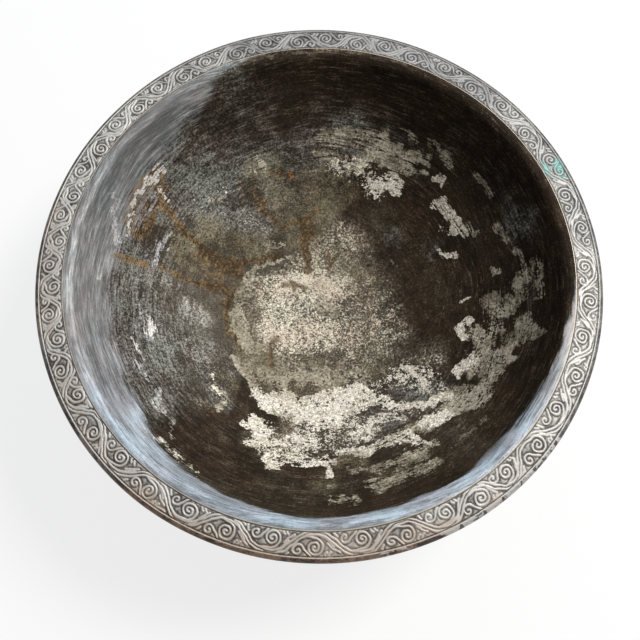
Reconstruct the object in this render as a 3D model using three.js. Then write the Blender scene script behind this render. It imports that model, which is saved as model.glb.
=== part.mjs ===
// Footed copper bowl: a raised basin with a broad sloping rim flange and a rolled edge over iron wire,
// soldered to a hollow flared foot. Millimetres and degrees, +Z up, standing on the plane z = 0.

import * as THREE from 'three';

// Driving dimensions of the bowl
const sheet = 1.4;                // thickness of the copper sheet of the bowl
const rimBorderRadius = 190;      // where the flange turns over into the rolled edge
const flangeWidth = 17;           // ornamented flange, measured down its slope
const flangeFall = 7.3;           // slope of the flange, falling outwards
const shoulderRadius = 8;         // convex bend between flange and wall
const wallAngle = 64;             // steepest slope of the wall, just under the shoulder
const floorRadius = 46;           // where the flatter floor runs into the wall
const floorCurve = 350;           // radius of the nearly flat floor
const bellyClearance = 30;        // height of the lowest point of the belly above the ground

// Driving dimensions of the rolled edge and its wire
const wireRadius = 1.5;
const rollTurn = 285;             // how far the edge is curled round the wire
const fitGap = 0.3;               // between pieces that touch

// Driving dimensions of the foot
const footSheet = 1.4;            // thickness of the copper sheet of the foot
const collarRadius = 62;          // outer edge of the collar that is soldered under the belly
const collarWidth = 7;            // collar, measured along the belly
const neckBend = 3;               // bend from the collar down into the foot, on its outer side
const flareTop = 8;               // lean of the foot's wall from upright, at the neck
const flareBottom = 40;           // lean of the foot's wall from upright, above the base
const baseBend = 3;               // bend from the wall out into the base flange, on its outer side
const baseFlangeWidth = 6;        // flat ring that the bowl stands on
const hemWidth = 4.5;             // edge of the base flange, folded back on itself
const hemGap = 0.6;               // left open between the two layers of the hem

// Driving dimensions of the solder
const outerFillet = 3;            // reach of the outer solder along the belly
const innerFillet = 5;            // reach of the inner solder along the belly
const filletHollow = 0.4;         // how far the face of a fillet is drawn in, as a share of its reach

// Fineness of the faceted solids
const turnSteps = 72;
const floorSteps = 3;
const wallSteps = 10;
const bendSteps = 4;
const rollSteps = 11;
const wireSides = 8;

const rad = THREE.MathUtils.degToRad;
const sin = (degrees) => Math.sin(rad(degrees));
const cos = (degrees) => Math.cos(rad(degrees));
const asin = (share) => THREE.MathUtils.radToDeg(Math.asin(share));
const point = (r, z) => new THREE.Vector2(r, z);

// A run is a start point, a heading and a list of bends and straights. Bends turn left where turn is
// positive, and their radius is that of the run itself, the line with no offset. This walks the run on
// a line that lies offset to its left, so that two walks give the two faces of a sheet.
function walk(run, offset = 0) {
  let { r, z, heading } = run;
  const points = [point(r - offset * sin(heading), z + offset * cos(heading))];
  for (const { radius = 0, turn = 0, length = 0, steps = 1 } of run.parts) {
    const side = Math.sign(turn);
    const centreR = r - side * radius * sin(heading);
    const centreZ = z + side * radius * cos(heading);
    for (let step = 1; step <= steps; step++) {
      const along = heading + (turn * step) / steps;
      r = centreR + side * radius * sin(along) + (length * step * cos(heading)) / steps;
      z = centreZ - side * radius * cos(along) + (length * step * sin(heading)) / steps;
      points.push(point(r - offset * sin(along), z + offset * cos(along)));
    }
    heading += turn;
  }
  return points;
}

// Turns a closed outline in the r-z plane round the Z axis. The outline runs counter-clockwise.
function turned(outline) {
  const closed = outline[0].x === 0 ? outline : [...outline, outline[0]];
  return new THREE.LatheGeometry(closed, turnSteps).rotateX(Math.PI / 2);
}

function piece(name, geometry, material) {
  const mesh = new THREE.Mesh(geometry, material);
  mesh.name = name;
  return mesh;
}

// Run of the bowl's inner and upper face, from the middle of the floor out to the end of the roll
const floorAngle = asin(floorRadius / floorCurve);
const flangeInnerRadius = rimBorderRadius - flangeWidth * cos(flangeFall);
const shoulderReach = shoulderRadius * (sin(wallAngle) + sin(flangeFall));
const wallReach = flangeInnerRadius - shoulderReach - floorRadius;
const wallCurve = wallReach / (sin(wallAngle) - sin(floorAngle));
const rollRadius = wireRadius + fitGap + sheet;
const floorTop = bellyClearance + sheet;

const bowlRun = {
  r: 0,
  z: floorTop,
  heading: 0,
  parts: [
    { radius: floorCurve, turn: floorAngle, steps: floorSteps },
    { radius: wallCurve, turn: wallAngle - floorAngle, steps: wallSteps },
    { radius: shoulderRadius, turn: -(wallAngle + flangeFall), steps: bendSteps },
    { length: flangeWidth },
    { radius: rollRadius, turn: -rollTurn, steps: rollSteps },
  ],
};

function bowlBody() {
  const upper = walk(bowlRun);
  const lower = walk(bowlRun, -sheet);
  upper[0].x = 0;
  lower[0].x = 0;
  return turned([...lower, ...upper.reverse()]);
}

// Centre of the section of the rolled edge, below the border of the flange
const floorRise = floorCurve * (1 - cos(floorAngle));
const wallRise = wallCurve * (cos(floorAngle) - cos(wallAngle));
const shoulderRise = shoulderRadius * (cos(flangeFall) - cos(wallAngle));
const rimBorderHeight = floorTop + floorRise + wallRise + shoulderRise - flangeWidth * sin(flangeFall);
const rollCentreRadius = rimBorderRadius - rollRadius * sin(flangeFall);
const rollCentreHeight = rimBorderHeight - rollRadius * cos(flangeFall);

function rimWire() {
  const ring = new THREE.TorusGeometry(rollCentreRadius, wireRadius, wireSides, turnSteps);
  return ring.translate(0, 0, rollCentreHeight);
}

// The belly, where the foot joins it, is an arc round this centre
const bellyCurve = wallCurve + sheet;
const bellyCentreRadius = floorRadius - wallCurve * sin(floorAngle);
const bellyCentreHeight = floorTop + floorRise + wallCurve * cos(floorAngle);
const underBelly = (angle, depth) => point(
  bellyCentreRadius + (bellyCurve + depth) * sin(angle),
  bellyCentreHeight - (bellyCurve + depth) * cos(angle),
);
const alongBelly = (length) => THREE.MathUtils.radToDeg(length / bellyCurve);

// Run of the foot's upper and inner face, from the edge of the collar in, down and out to the hem
const collarAngle = asin((collarRadius - bellyCentreRadius) / bellyCurve);
const neckAngle = collarAngle - alongBelly(collarWidth);
const collarEdge = underBelly(collarAngle, fitGap);
const neckTop = underBelly(neckAngle, fitGap);
const neckTurn = 90 - neckAngle + flareTop;
const neckFaceBend = neckBend + footSheet;
const neckDrop = neckFaceBend * (cos(neckAngle) + sin(flareTop));
const baseFaceBend = baseBend + footSheet;
const baseDrop = baseFaceBend * (1 - sin(flareBottom));
const flareFaceCurve = (neckTop.y - neckDrop - baseDrop) / (sin(flareBottom) - sin(flareTop));
const hemBend = hemGap / 2 + footSheet;

const footRun = {
  r: collarEdge.x,
  z: collarEdge.y,
  heading: 180 + collarAngle,
  parts: [
    { radius: bellyCurve + fitGap, turn: neckAngle - collarAngle },
    { radius: neckFaceBend, turn: neckTurn, steps: bendSteps },
    { radius: flareFaceCurve, turn: flareBottom - flareTop, steps: bendSteps },
    { radius: baseFaceBend, turn: 90 - flareBottom, steps: bendSteps },
    { length: baseFlangeWidth },
    { radius: hemBend, turn: 180, steps: bendSteps },
    { length: hemWidth },
  ],
};

function footRing() {
  const inner = walk(footRun);
  const outer = walk(footRun, footSheet);
  return turned([...inner, ...outer.reverse()]);
}

// Solder in the step between the belly and the edge of the collar
function outerSolder() {
  const start = collarAngle + alongBelly(fitGap);
  const end = start + alongBelly(outerFillet);
  const middle = start + alongBelly(outerFillet * filletHollow);
  const depth = fitGap + footSheet;
  return turned([
    underBelly(start, fitGap),
    underBelly(start, depth),
    underBelly(middle, fitGap + footSheet * filletHollow),
    underBelly(end, fitGap),
  ]);
}

// Solder in the groove between the belly and the bend of the neck, inside the foot
function innerSolder() {
  const groove = { ...footRun, parts: footRun.parts.slice(0, 2) };
  const bend = walk(groove, -fitGap).slice(2);
  const low = bend[bend.length - 1];
  const top = (angle) => underBelly(angle, fitGap);
  const outerAngle = asin((bend[0].x - bellyCentreRadius) / bellyCurve);
  const innerAngle = asin((low.x - bellyCentreRadius) / bellyCurve) - alongBelly(innerFillet);
  const far = top(innerAngle);
  const hollow = point(
    THREE.MathUtils.lerp(low.x, far.x, filletHollow),
    THREE.MathUtils.lerp(low.y, far.y, 1 - filletHollow),
  );
  return turned([far, hollow, low, ...bend.reverse().slice(1), top(outerAngle)]);
}

const metal = (color, roughness, metalness) => new THREE.MeshStandardMaterial({ color, roughness, metalness });
const tinnedCopper = metal(0x8d877c, 0.55, 0.7);
const bareCopper = metal(0x7a5240, 0.5, 0.8);
const oldIron = metal(0x3b322c, 0.8, 0.5);
const softSolder = metal(0x8f8e8a, 0.6, 0.6);

const bowl = new THREE.Group();
bowl.add(
  piece('bowl_body', bowlBody(), tinnedCopper),
  piece('rim_wire', rimWire(), oldIron),
  piece('foot_ring', footRing(), bareCopper),
  piece('foot_solder_outer', outerSolder(), softSolder),
  piece('foot_solder_inner', innerSolder(), softSolder),
);

export default bowl;
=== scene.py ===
# Footed copper bowl: a raised and tinned basin, its flange worked with a vine scroll, its rolled edge, and
# the foot soldered under it. The file is laid out as a Blender add-on and is run as a script. Lengths are
# in metres, +Z up, in the frame of the packed model. The front, nearest to the camera, is at -Y.

import math
import random

import bmesh
import bpy
import numpy as np
from bpy.props import FloatProperty, FloatVectorProperty, PointerProperty
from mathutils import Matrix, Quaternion, Vector, kdtree, noise


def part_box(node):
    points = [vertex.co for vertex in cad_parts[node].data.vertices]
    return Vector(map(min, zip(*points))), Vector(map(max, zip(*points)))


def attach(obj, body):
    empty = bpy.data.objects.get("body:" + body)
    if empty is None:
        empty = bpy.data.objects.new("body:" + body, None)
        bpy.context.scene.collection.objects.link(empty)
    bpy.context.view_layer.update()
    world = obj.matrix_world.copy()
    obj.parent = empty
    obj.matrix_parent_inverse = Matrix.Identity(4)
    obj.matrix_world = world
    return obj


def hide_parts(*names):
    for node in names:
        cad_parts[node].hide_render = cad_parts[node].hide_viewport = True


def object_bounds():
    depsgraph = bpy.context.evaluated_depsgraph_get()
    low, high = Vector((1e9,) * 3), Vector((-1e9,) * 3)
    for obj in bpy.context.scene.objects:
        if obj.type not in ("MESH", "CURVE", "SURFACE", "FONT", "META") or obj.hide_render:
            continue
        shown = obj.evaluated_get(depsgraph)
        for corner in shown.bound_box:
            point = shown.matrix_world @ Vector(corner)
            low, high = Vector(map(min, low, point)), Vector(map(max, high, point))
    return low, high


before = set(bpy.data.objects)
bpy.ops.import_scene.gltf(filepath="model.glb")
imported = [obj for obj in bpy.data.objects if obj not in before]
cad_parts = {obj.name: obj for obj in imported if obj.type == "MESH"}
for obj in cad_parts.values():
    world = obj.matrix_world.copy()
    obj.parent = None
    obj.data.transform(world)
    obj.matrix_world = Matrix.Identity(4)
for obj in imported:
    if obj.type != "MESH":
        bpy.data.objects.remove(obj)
cad_low, cad_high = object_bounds()

bl_info = {
    "name": "Footed copper bowl",
    "version": (1, 0, 0),
    "blender": (4, 5, 0),
    "location": "3D View > Sidebar > Bowl",
    "description": "Builds a footed copper bowl with a scroll-worked rim, worn tinning and stains",
    "category": "Add Mesh",
}

MM = 0.001
TINY = 1e-9
FULL_TURN = 2 * math.pi
BODY = "root"


def length(name, text, millimetres):
    """A property for a size, written in millimetres"""
    return FloatProperty(name=name, description=text, default=millimetres * MM, unit="LENGTH", precision=5)


def angle(name, text, degrees):
    """A property for an angle, written in degrees"""
    return FloatProperty(name=name, description=text, default=math.radians(degrees), subtype="ANGLE")


def power(name, text, watts):
    """A property for the power of a lamp"""
    return FloatProperty(name=name, description=text, default=watts, min=0.0, unit="POWER")


def colour(name, text, red, green, blue):
    """A property for a colour, written as a picture shows it, from 0 to 255"""
    shown = (red / 255, green / 255, blue / 255)
    # The usual curve from a picture's numbers to the strength of light
    light = [((c + 0.055) / 1.055) ** 2.4 if c > 0.04 else c / 12.92 for c in shown]
    return FloatVectorProperty(
        name=name, description=text, default=(*light, 1.0), size=4, subtype="COLOR", min=0.0, max=1.0
    )


class BowlSizes(bpy.types.PropertyGroup):
    """Sizes of the raised bowl, which is one sheet of copper"""

    sheet: length("Sheet", "Thickness of the copper sheet", 1.4)
    flange_width: length("Flange width", "Flange from the shoulder to its border, down its slope", 17)
    flange_fall: angle("Flange fall", "Slope of the flange, falling outwards", 7.3)
    shoulder_radius: length("Shoulder", "Convex bend between the flange and the wall", 8)
    wall_angle: angle("Wall", "Steepest slope of the wall, under the shoulder", 64)
    floor_radius: length("Floor", "Where the flatter floor runs into the wall", 46)
    floor_curve: length("Floor curve", "Radius of the nearly flat floor", 350)
    roll_radius: length("Roll", "Outer radius of the edge that is rolled over the wire", 3.2)
    roll_turn: angle("Roll turn", "How far the edge is curled round the wire", 285)


class FootSizes(bpy.types.PropertyGroup):
    """Sizes of the foot and its solder"""

    sheet: length("Foot sheet", "Thickness of the copper sheet of the foot", 1.4)
    collar_radius: length("Collar", "Outer edge of the collar under the belly", 62)
    collar_width: length("Collar width", "Collar, measured along the belly", 7)
    seat: length("Seat", "Solder film between the belly and the collar", 0.3)
    neck_bend: length("Neck bend", "Bend from the collar down into the foot", 3)
    flare_top: angle("Lean at the neck", "Lean of the foot's wall from upright, at the neck", 8)
    flare_bottom: angle("Lean at the base", "Lean of the foot's wall from upright, above the base", 40)
    base_bend: length("Base bend", "Bend from the wall out into the base flange", 3)
    base_flange: length("Base flange", "Flat ring that the bowl stands on", 6)
    hem_width: length("Hem", "Edge of the base flange, folded back on itself", 4.5)
    hem_gap: length("Hem gap", "Left open between the layers of the hem", 0.6)
    outer_fillet: length("Outer solder", "Reach of the outer solder along the belly", 3)
    inner_fillet: length("Inner solder", "Reach of the inner solder along the belly", 5)


class ScrollSizes(bpy.types.PropertyGroup):
    """Sizes of the vine scroll on the flange"""

    pitch: length("Line pitch", "From one raised line to the next", 2.6)
    depth: length("Relief", "Height of a raised line above the mean surface", 0.5)
    border: length("Border", "Plain edge outside each border line of the flange", 0.7)
    stem: length("Stem", "Between the two raised edges of the stem", 2.1)
    big_spiral: length("Large spiral", "Outer radius of the large spirals", 5.6)
    small_spiral: length("Small spiral", "Outer radius of the small spirals", 3.6)


class FinishColours(bpy.types.PropertyGroup):
    """Colours of the metal and of what lies on it"""

    bright_tin: colour("Sound tin", "Pale tin where the tinning is whole", 214, 206, 194)
    dull_tin: colour("Dull tin", "Tin under a film of dirt", 176, 168, 150)
    deep_film: colour("Dirty tin", "Tin under a thick film of dirt", 112, 104, 88)
    grey_tin: colour("Worn tin", "Grey of thin and rubbed tin", 134, 131, 126)
    deep_grey: colour("Deep grey", "Grey of tin that is nearly worn away", 62, 60, 57)
    smooth_tin: colour("Smooth tin", "Even grey of the tin under the rim", 186, 186, 188)
    # Also the colour that the painted shade brings out at the back and on the left of the smooth band
    dim_tin: colour("Dim smooth tin", "Darker streaks of the smooth tin", 112, 113, 116)
    # Painted reflection: bluish grey that stands in for the cool light from behind, reflected in the smooth
    # tin at the front
    painted_blue_reflection: colour("Blue tin", "Cool grey of the smooth tin under the front rim", 188, 199, 214)
    dark_metal: colour("Dark metal", "Bared and darkened copper", 64, 58, 49)
    brown_metal: colour("Brown metal", "Bared copper with a brown skin", 66, 51, 38)
    black_metal: colour("Black metal", "Soot on bared copper", 33, 25, 16)
    scale: colour("Lime scale", "Pale crust on the floor", 212, 203, 187)
    mild_scale: colour("Mild scale", "Even film of scale", 152, 144, 129)
    deep_scale: colour("Dull scale", "Thin crust on the floor", 104, 97, 85)
    rust: colour("Rust", "Deep rust stain", 66, 50, 29)
    pale_rust: colour("Pale rust", "Thin rust", 122, 99, 70)
    orange_rust: colour("Fresh rust", "Lighter rust", 152, 94, 44)
    olive: colour("Olive film", "Greenish brown film", 126, 117, 97)
    deep_olive: colour("Deep olive", "Thick olive film", 66, 60, 47)
    warm_cast: colour("Warm cast", "Tint of the crust, warm", 255, 248, 243)
    cool_cast: colour("Cool cast", "Tint of the crust, cool", 246, 251, 247)
    verdigris: colour("Verdigris", "Blue-green copper salt", 132, 200, 196)
    relief_light: colour("Relief, raised", "Rubbed raised lines of the scroll", 200, 197, 192)
    rubbed_line: colour("Rubbed line", "Warm metal, rubbed bare along the inner border", 206, 190, 168)
    relief_dark: colour("Relief, sunk", "Dirt in the sunk lines of the scroll", 70, 64, 58)
    # Painted shade: a grey tint that darkens the back and right of the flange
    painted_flange_shade: colour("Tarnish", "Tint of the duller flange at the back", 186, 188, 191)
    shoulder_brown: colour("Shoulder", "Dull brown skin at the back of the shoulder", 112, 102, 90)
    brown_cast: colour("Brown cast", "Tint of the copper that shows through on the flange", 222, 194, 168)
    worn_copper: colour("Worn copper", "Copper that shows through the tin", 156, 127, 108)
    copper: colour("Aged copper", "Brown copper of the outside and the foot", 132, 92, 70)
    solder: colour("Solder", "Dull soft solder", 150, 148, 142)
    iron: colour("Iron wire", "Rusted iron", 74, 54, 42)


class StageSettings(bpy.types.PropertyGroup):
    """Floor, lamps, sky and camera"""

    floor: colour("Floor", "Plain pale floor", 240, 240, 240)
    floor_reach: length("Floor reach", "From the middle of the floor to its edges", 6000)
    key_power: power("Key lamp", "Power of the soft lamp at the right", 56)
    fill_power: power("Fill lamp", "Power of the wide cool lamp behind", 13)
    sky: FloatProperty(name="Sky", description="Strength of the even light", default=0.2, min=0.0)
    tilt: angle("Camera tilt", "Lean of the camera's look from straight down, towards the back", 17.45)
    roll: angle("Camera roll", "Turn of the camera about its own look", 1.0)


# Steps of the walk round each section

FLOOR_STEPS = 26
WALL_STEPS = 92
SHOULDER_STEPS = 12
FLANGE_STEPS = 50
ROLL_STEPS = 32
COLLAR_STEPS = 6
NECK_STEPS = 12
FLARE_STEPS = 22
BASE_BEND_STEPS = 10
BASE_STEPS = 6
HEM_BEND_STEPS = 10
HEM_STEPS = 5
FILLET_STEPS = 8
WIRE_SIDES = 16
# The hidden lower faces of the sheet take only every few stations of the walk
BASIN_UNDER_STEP = 4
FLANGE_UNDER_STEP = 7
ROLL_UNDER_STEP = 2
# Columns of faces round each piece, and into how many equal blocks they are grouped while it is turned
BASIN_COLUMNS = (576, 24)
HALF_FLANGE_COLUMNS = (1600, 40)
ROLL_COLUMNS = (1440, 30)
FOOT_COLUMNS = (480, 24)
# Points closer than this are one point
WELD = 0.002 * MM
# Edges that bend by more than this are shaded as sharp
SHARP_EDGE = math.radians(50)


# Sections in the r-z plane


class Section:
    """Walks the section of a sheet and keeps each station of the walk as (r, z, heading)"""

    def __init__(self, r, z, heading):
        self.stations = [(r, z, heading)]

    def bend(self, radius, turn, steps):
        """Walks an arc, to the left where turn is positive, and returns the number of its last station"""
        r, z, heading = self.stations[-1]
        side = math.copysign(radius, turn)
        centre_r = r - side * math.sin(heading)
        centre_z = z + side * math.cos(heading)
        for step in range(1, steps + 1):
            along = heading + turn * step / steps
            point = (centre_r + side * math.sin(along), centre_z - side * math.cos(along))
            self.stations.append((*point, along))
        return len(self.stations) - 1

    def straight(self, distance, steps):
        """Walks straight on, and returns the number of its last station"""
        r, z, heading = self.stations[-1]
        for step in range(1, steps + 1):
            run = distance * step / steps
            self.stations.append((r + run * math.cos(heading), z + run * math.sin(heading), heading))
        return len(self.stations) - 1

    def face(self, offset=0.0, first=0, last=None, every=1):
        """Points of the face that lies offset to the left of the walk"""
        last = len(self.stations) - 1 if last is None else last
        chosen = sorted({*range(first, last, every), last})
        return [
            (r - offset * math.sin(heading), z + offset * math.cos(heading))
            for r, z, heading in (self.stations[i] for i in chosen)
        ]


def bowl_section(sizes):
    """The upper face of the bowl from the middle of its floor to the end of the roll, with its marks"""
    low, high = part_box("bowl_body")
    fall, wall = sizes.flange_fall, sizes.wall_angle
    floor_angle = math.asin(sizes.floor_radius / sizes.floor_curve)
    border_radius = high.x - sizes.roll_radius * (1 - math.sin(fall))
    shoulder_reach = sizes.shoulder_radius * (math.sin(wall) + math.sin(fall))
    wall_reach = border_radius - sizes.flange_width * math.cos(fall) - shoulder_reach - sizes.floor_radius
    wall_curve = wall_reach / (math.sin(wall) - math.sin(floor_angle))
    section = Section(0.0, low.z + sizes.sheet, 0.0)
    section.bend(sizes.floor_curve, floor_angle, FLOOR_STEPS)
    section.bend(wall_curve, wall - floor_angle, WALL_STEPS)
    section.flange_start = section.bend(sizes.shoulder_radius, -wall - fall, SHOULDER_STEPS)
    section.border = section.straight(sizes.flange_width, FLANGE_STEPS)
    section.bend(sizes.roll_radius, -sizes.roll_turn, ROLL_STEPS)
    section.wall_curve = wall_curve
    section.floor_angle = floor_angle
    return section


class Belly:
    """The underside of the bowl where the foot joins it: an arc in the section"""

    def __init__(self, bowl, section):
        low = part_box("bowl_body")[0]
        floor_top = low.z + bowl.sheet
        rise = bowl.floor_curve * (1 - math.cos(section.floor_angle))
        self.curve = section.wall_curve + bowl.sheet
        self.r = bowl.floor_radius - section.wall_curve * math.sin(section.floor_angle)
        self.z = floor_top + rise + section.wall_curve * math.cos(section.floor_angle)

    def point(self, turn, depth=0.0):
        """A point at this turn of the arc from straight down, and this deep below the belly"""
        reach = self.curve + depth
        return self.r + reach * math.sin(turn), self.z - reach * math.cos(turn)

    def turn_at(self, r):
        return math.asin((r - self.r) / self.curve)


def foot_section(foot, belly):
    """The upper and inner face of the foot, from the edge of its collar to the end of the hem"""
    collar = belly.turn_at(foot.collar_radius)
    neck = collar - foot.collar_width / belly.curve
    neck_bend = foot.neck_bend + foot.sheet
    base_bend = foot.base_bend + foot.sheet
    top = belly.point(neck, foot.seat)[1]
    neck_drop = neck_bend * (math.cos(neck) + math.sin(foot.flare_top))
    base_drop = base_bend * (1 - math.sin(foot.flare_bottom))
    lean = math.sin(foot.flare_bottom) - math.sin(foot.flare_top)
    flare_curve = (top - neck_drop - base_drop - cad_low.z) / lean
    section = Section(*belly.point(collar, foot.seat), math.pi + collar)
    section.collar_end = section.bend(belly.curve + foot.seat, neck - collar, COLLAR_STEPS)
    section.neck_end = section.bend(neck_bend, math.pi / 2 - neck + foot.flare_top, NECK_STEPS)
    section.bend(flare_curve, foot.flare_bottom - foot.flare_top, FLARE_STEPS)
    section.bend(base_bend, math.pi / 2 - foot.flare_bottom, BASE_BEND_STEPS)
    section.straight(foot.base_flange, BASE_STEPS)
    section.bend(foot.hem_gap / 2 + foot.sheet, math.pi, HEM_BEND_STEPS)
    section.straight(foot.hem_width, HEM_STEPS)
    return section


# Unevenness of hand work, shared by every piece of the bowl so that they stay joined

# Waves round the bowl: how many, how high in millimetres, and their phase
RADIUS_WAVES = ((2, 0.26, 0.9), (3, 0.17, 2.1), (5, 0.10, 4.0), (9, 0.05, 1.2), (17, 0.03, 5.1))
HEIGHT_WAVES = ((2, 0.27, 2.6), (3, 0.18, 0.4), (4, 0.13, 5.3), (7, 0.07, 3.0), (13, 0.04, 1.7))
# The rim is drawn in and down by the crests of its waves, so that it stays within its size
RIM_DRAWN_IN = 0.55
RIM_DRAWN_DOWN = 0.65
# Shallow dents in the basin: x, y, radius and depth, in millimetres; a negative depth is a bulge inwards
DENTS = (
    (-132, -38, 34, 0.9), (-96, -118, 40, 0.8), (118, 84, 36, 0.9), (30, 148, 30, 0.7), (146, -30, 28, 0.6),
    (44, -128, 34, -0.6), (-150, 30, 26, -0.5), (70, 40, 42, 0.5), (-58, 62, 38, -0.4), (-14, -46, 36, 0.4),
)
# The dents end at this share of the rim's radius, and fade out over the one below
DENTS_END = 0.88
DENTS_FADE = 0.06


def waves(turn, table):
    return sum(size * np.cos(count * turn + phase) for count, size, phase in table)


def make_uneven(points, rim_radius):
    """Moves points of the bowl a little, as hand raising leaves it, by a smooth rule of their place alone"""
    r = np.hypot(points[:, 0], points[:, 1])
    turn = np.arctan2(points[:, 1], points[:, 0])
    share = r / rim_radius
    outward = share**3 * (waves(turn, RADIUS_WAVES) - RIM_DRAWN_IN) * MM
    points[:, 2] += share**4 * (waves(turn, HEIGHT_WAVES) - RIM_DRAWN_DOWN) * MM
    inside = np.clip((DENTS_END - share) / DENTS_FADE, 0, 1)
    for x, y, radius, depth in DENTS:
        apart = np.hypot(points[:, 0] - x * MM, points[:, 1] - y * MM) / (radius * MM)
        push = depth * MM * np.clip(1 - apart**2, 0, None) ** 2 * inside
        outward += push * share
        points[:, 2] -= push * (1 - share**2)
    points[:, 0] += outward * points[:, 0] / np.maximum(r, TINY)
    points[:, 1] += outward * points[:, 1] / np.maximum(r, TINY)


# Without a seed the noise would start from the clock, and no two runs would have the same outlines
WOBBLE_SEED = 1


def wobble(x, y, size, reach, seed=0.0):
    """A smooth random shift of each place, about reach wide, that varies over size"""
    noise.seed_set(WOBBLE_SEED)
    shifts = [noise.noise_vector((a / size, b / size, seed)) for a, b in zip(x, y)]
    return reach * np.array(shifts)[:, :2].T


# Meshes


def turned(outline, columns, sweep=FULL_TURN, start=0.0, closed=True):
    """Turns an outline of (r, z) points round the Z axis: one block of columns first, then its copies.

    A closed outline is a loop that keeps off the axis. An open one starts and ends on the axis.
    """
    count, blocks = columns
    mesh = bmesh.new()
    points = [mesh.verts.new((r * math.cos(start), r * math.sin(start), z)) for r, z in outline]
    pairs = list(zip(points, points[1:]))
    if closed:
        pairs.append((points[-1], points[0]))
    edges = [mesh.edges.new(pair) for pair in pairs]
    block = sweep / blocks
    axis = {"axis": (0, 0, 1), "cent": (0, 0, 0)}
    bmesh.ops.spin(
        mesh, geom=points + edges, angle=block, steps=count // blocks, use_duplicate=False, **axis
    )
    first = [*mesh.verts, *mesh.edges, *mesh.faces]
    bmesh.ops.spin(
        mesh, geom=first, angle=block * (blocks - 1), steps=blocks - 1, use_duplicate=True, **axis
    )
    bmesh.ops.remove_doubles(mesh, verts=mesh.verts, dist=WELD)
    if sweep < FULL_TURN:
        bmesh.ops.holes_fill(mesh, edges=[e for e in mesh.edges if e.is_boundary], sides=0)
    bmesh.ops.recalc_face_normals(mesh, faces=mesh.faces)
    return mesh


def get_points(data):
    """The vertices of a mesh as rows of x, y and z"""
    points = np.empty(len(data.vertices) * 3)
    data.vertices.foreach_get("co", points)
    return points.reshape(-1, 3)


def set_points(data, points):
    data.vertices.foreach_set("co", points.ravel())
    data.update()


def add_layer(data, name, values):
    """Stores one number for each vertex, which the finish reads by its name"""
    layer = data.attributes.new(name, "FLOAT", "POINT")
    layer.data.foreach_set("value", np.asarray(values, np.float32))


def part_upper_faces(data):
    """Gives the faces that look up the first material of a piece, and all others its second"""
    normals = np.empty(len(data.polygons) * 3)
    data.polygons.foreach_get("normal", normals)
    looks_up = normals.reshape(-1, 3)[:, 2] > 0
    data.polygons.foreach_set("material_index", np.where(looks_up, 0, 1).astype(np.int32))


def add_piece(name, mesh, *, replaces, materials):
    """Turns a bmesh into a piece that rides on the body and stands for its CAD nodes"""
    data = bpy.data.meshes.new(name)
    mesh.to_mesh(data)
    mesh.free()
    for material in materials:
        data.materials.append(material)
    data.shade_smooth()
    data.set_sharp_from_angle(angle=SHARP_EDGE)
    piece = bpy.data.objects.new(name, data)
    bpy.context.scene.collection.objects.link(piece)
    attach(piece, BODY)
    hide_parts(*replaces)
    return piece


# Stains, each a line drawn on the plan of the bowl: half width in millimetres, strength, and points

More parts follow.
